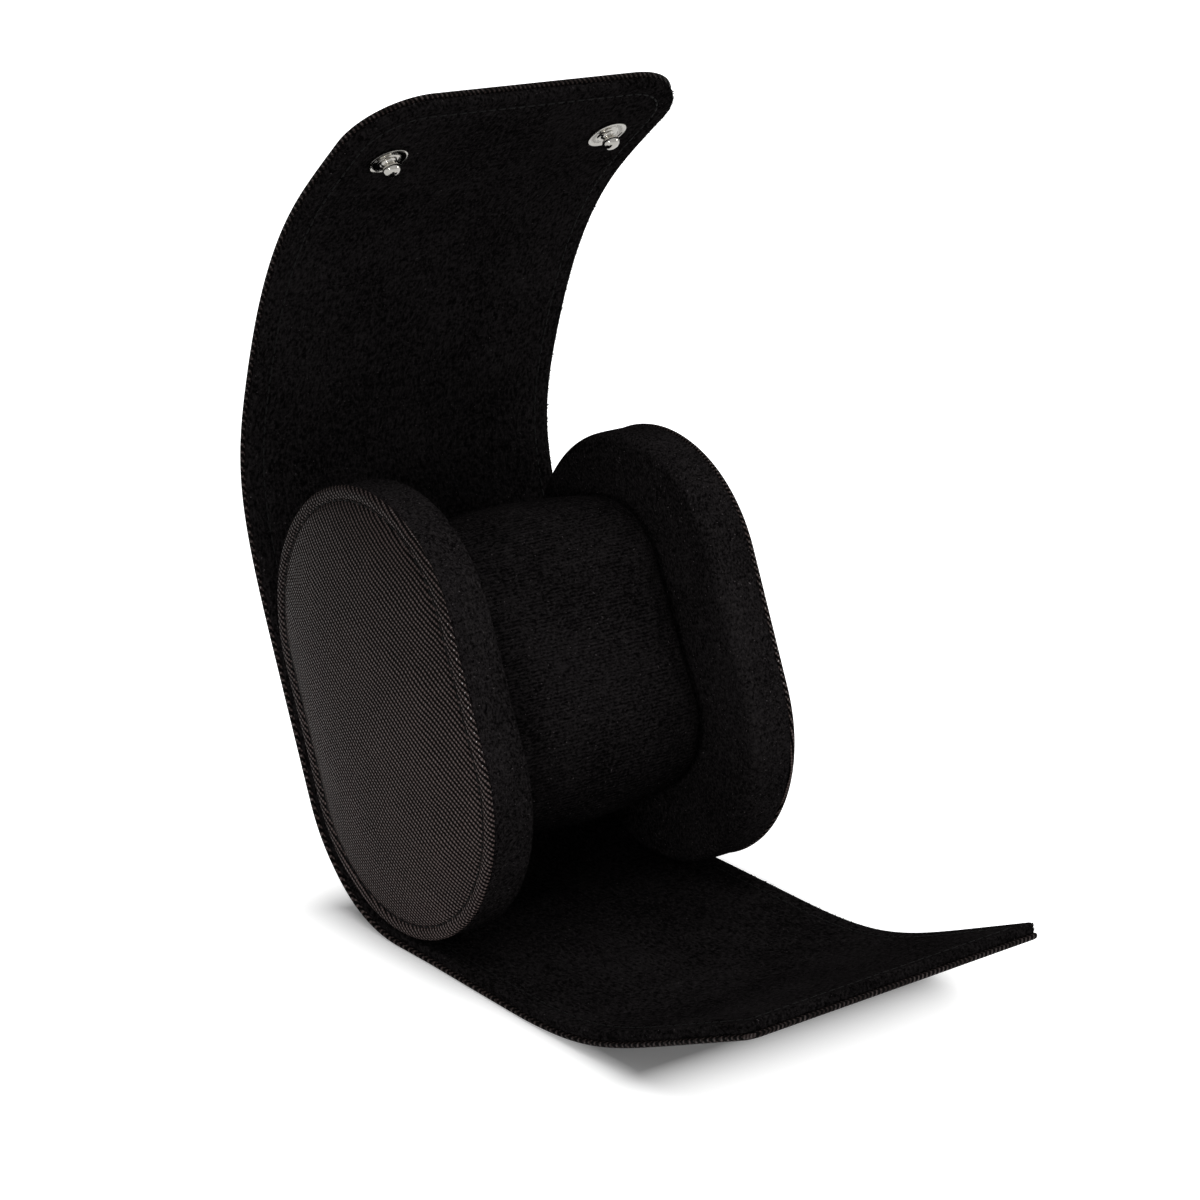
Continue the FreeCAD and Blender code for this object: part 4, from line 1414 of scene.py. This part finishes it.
class ROLL_OT_stage(bpy.types.Operator):
    """Set the camera, the soft light and the pale floor"""

    bl_idname = "roll.stage"
    bl_label = "Stage"

    def execute(self, context):
        settings = context.scene.roll_stage
        scene = context.scene
        target = Vector((settings.target_x, 0, settings.target_z))
        turn, rise = settings.azimuth, settings.elevation
        level = math.cos(rise)
        away = Vector((math.sin(turn) * level, -math.cos(turn) * level, math.sin(rise)))
        camera = bpy.data.cameras.new("camera")
        camera.lens = settings.lens
        camera.sensor_width = SENSOR
        camera.clip_start = NEAREST
        viewer = bpy.data.objects.new("camera", camera)
        viewer.location = target + away * settings.distance
        viewer.rotation_euler = (-away).to_track_quat("-Z", "Y").to_euler()
        scene.collection.objects.link(viewer)
        scene.camera = viewer
        bpy.ops.object.select_all(action="DESELECT")
        bpy.ops.mesh.primitive_plane_add(size=FLOOR_SIZE)
        floor = added("floor")
        floor.data.materials.append(self.floor_finish())
        for light in LIGHTS:
            area_light(*light)
        self.light_world(scene)
        scene.view_settings.view_transform = "Standard"
        return {"FINISHED"}

    @staticmethod
    def floor_finish():
        """White paper that glows white to the camera, with a painted shadow where its glow is lowered round
        the roll's print, and a faint glow seen in reflections.
        """
        finish = bpy.data.materials.new("white_floor")
        finish.use_nodes = True
        nodes = Nodes(finish.node_tree)
        shader = finish.node_tree.nodes["Principled BSDF"]
        shader.inputs["Base Color"].default_value = (0.9, 0.9, 0.9, 1)
        shader.inputs["Roughness"].default_value = 0.9
        shader.inputs["Specular IOR Level"].default_value = 0.1
        rays = nodes.add("ShaderNodeLightPath").outputs
        place = nodes.add("ShaderNodeTexCoord").outputs["Object"]
        low = CAD_BOX[0] + Vector((OVERHANG, LIFTED_TIP, 0))
        high = CAD_BOX[1] - Vector((OVERHANG, LIFTED_BACK, 0))
        middle, half = (low + high) / 2, (high - low) / 2
        aside = nodes.vector("ABSOLUTE", nodes.vector("SUBTRACT", place, (middle.x, middle.y, 0.0)))
        past = nodes.vector("SUBTRACT", aside, (half.x, half.y, 1.0))
        gap = nodes.vector("LENGTH", nodes.vector("MAXIMUM", past, (0.0, 0.0, 0.0)))
        # Painted shadow: the floor's glow is lowered on the roll's print and rises over the shadow's reach
        # round it.
        shade = nodes.sum("POWER", nodes.span(gap, 0.0, SHADOW_REACH, 1.0, 0.0), SHADOW_SOFT)
        level = nodes.sum("SUBTRACT", 1.0, nodes.sum("MULTIPLY", shade, SHADOW_DEEP))
        glow = nodes.add("ShaderNodeEmission")
        mirrored = nodes.sum("MAXIMUM", rays["Is Glossy Ray"], rays["Is Transmission Ray"])
        seen = nodes.sum("MAXIMUM", rays["Is Camera Ray"], nodes.sum("MULTIPLY", mirrored, FLOOR_MIRRORED))
        nodes.feed(glow.inputs["Strength"], nodes.sum("MULTIPLY", seen, level))
        both = nodes.add("ShaderNodeAddShader")
        nodes.feed(both.inputs[0], shader.outputs["BSDF"])
        nodes.feed(both.inputs[1], glow.outputs["Emission"])
        nodes.feed(finish.node_tree.nodes["Material Output"].inputs["Surface"], both.outputs["Shader"])
        return finish

    @staticmethod
    def light_world(scene):
        """Light from all round, more from the front, and white where the camera looks past the floor."""
        world = bpy.data.worlds.new("white_room")
        world.use_nodes = True
        scene.world = world
        nodes = Nodes(world.node_tree)
        rays = nodes.add("ShaderNodeLightPath").outputs
        way = nodes.add("ShaderNodeTexCoord").outputs["Generated"]
        ahead = nodes.vector("DOT_PRODUCT", way, (0.0, -1.0, 0.0))
        level = nodes.span(ahead, -1, 1, WORLD_BACK, WORLD_FRONT)
        sky = world.node_tree.nodes["Background"]
        sky.inputs["Color"].default_value = (1, 1, 1, 1)
        nodes.feed(sky.inputs["Strength"], nodes.sum("MAXIMUM", rays["Is Camera Ray"], level))


class ROLL_PT_panel(bpy.types.Panel):
    """The steps that build the roll"""

    bl_idname = "ROLL_PT_panel"
    bl_label = "Watch roll"
    bl_space_type = "VIEW_3D"
    bl_region_type = "UI"
    bl_category = "Watch roll"

    def draw(self, context):
        for operator in OPERATORS:
            self.layout.operator(operator.bl_idname)


SETTINGS = {
    "roll_caps": CapSettings,
    "roll_cushion": CushionSettings,
    "roll_wrap": WrapSettings,
    "roll_stitch": StitchSettings,
    "roll_snaps": SnapSettings,
    "roll_finish": FinishSettings,
    "roll_stage": StageSettings,
}
OPERATORS = (
    ROLL_OT_stage,
    ROLL_OT_cap_faces,
    ROLL_OT_cap_suede,
    ROLL_OT_cushion,
    ROLL_OT_wrap,
    ROLL_OT_nap,
    ROLL_OT_stitches,
    ROLL_OT_snaps,
)


def register():
    for name, group in SETTINGS.items():
        bpy.utils.register_class(group)
        setattr(bpy.types.Scene, name, PointerProperty(type=group))
    for operator in OPERATORS:
        bpy.utils.register_class(operator)
    bpy.utils.register_class(ROLL_PT_panel)


def unregister():
    bpy.utils.unregister_class(ROLL_PT_panel)
    for operator in reversed(OPERATORS):
        bpy.utils.unregister_class(operator)
    for name, group in SETTINGS.items():
        delattr(bpy.types.Scene, name)
        bpy.utils.unregister_class(group)


def main():
    register()
    bpy.ops.roll.stage()
    bpy.ops.roll.cap_faces()
    bpy.ops.roll.cap_suede()
    bpy.ops.roll.cushion()
    bpy.ops.roll.wrap()
    bpy.ops.roll.nap()
    bpy.ops.roll.stitches()
    bpy.ops.roll.snaps()


if __name__ == "__main__":
    main()
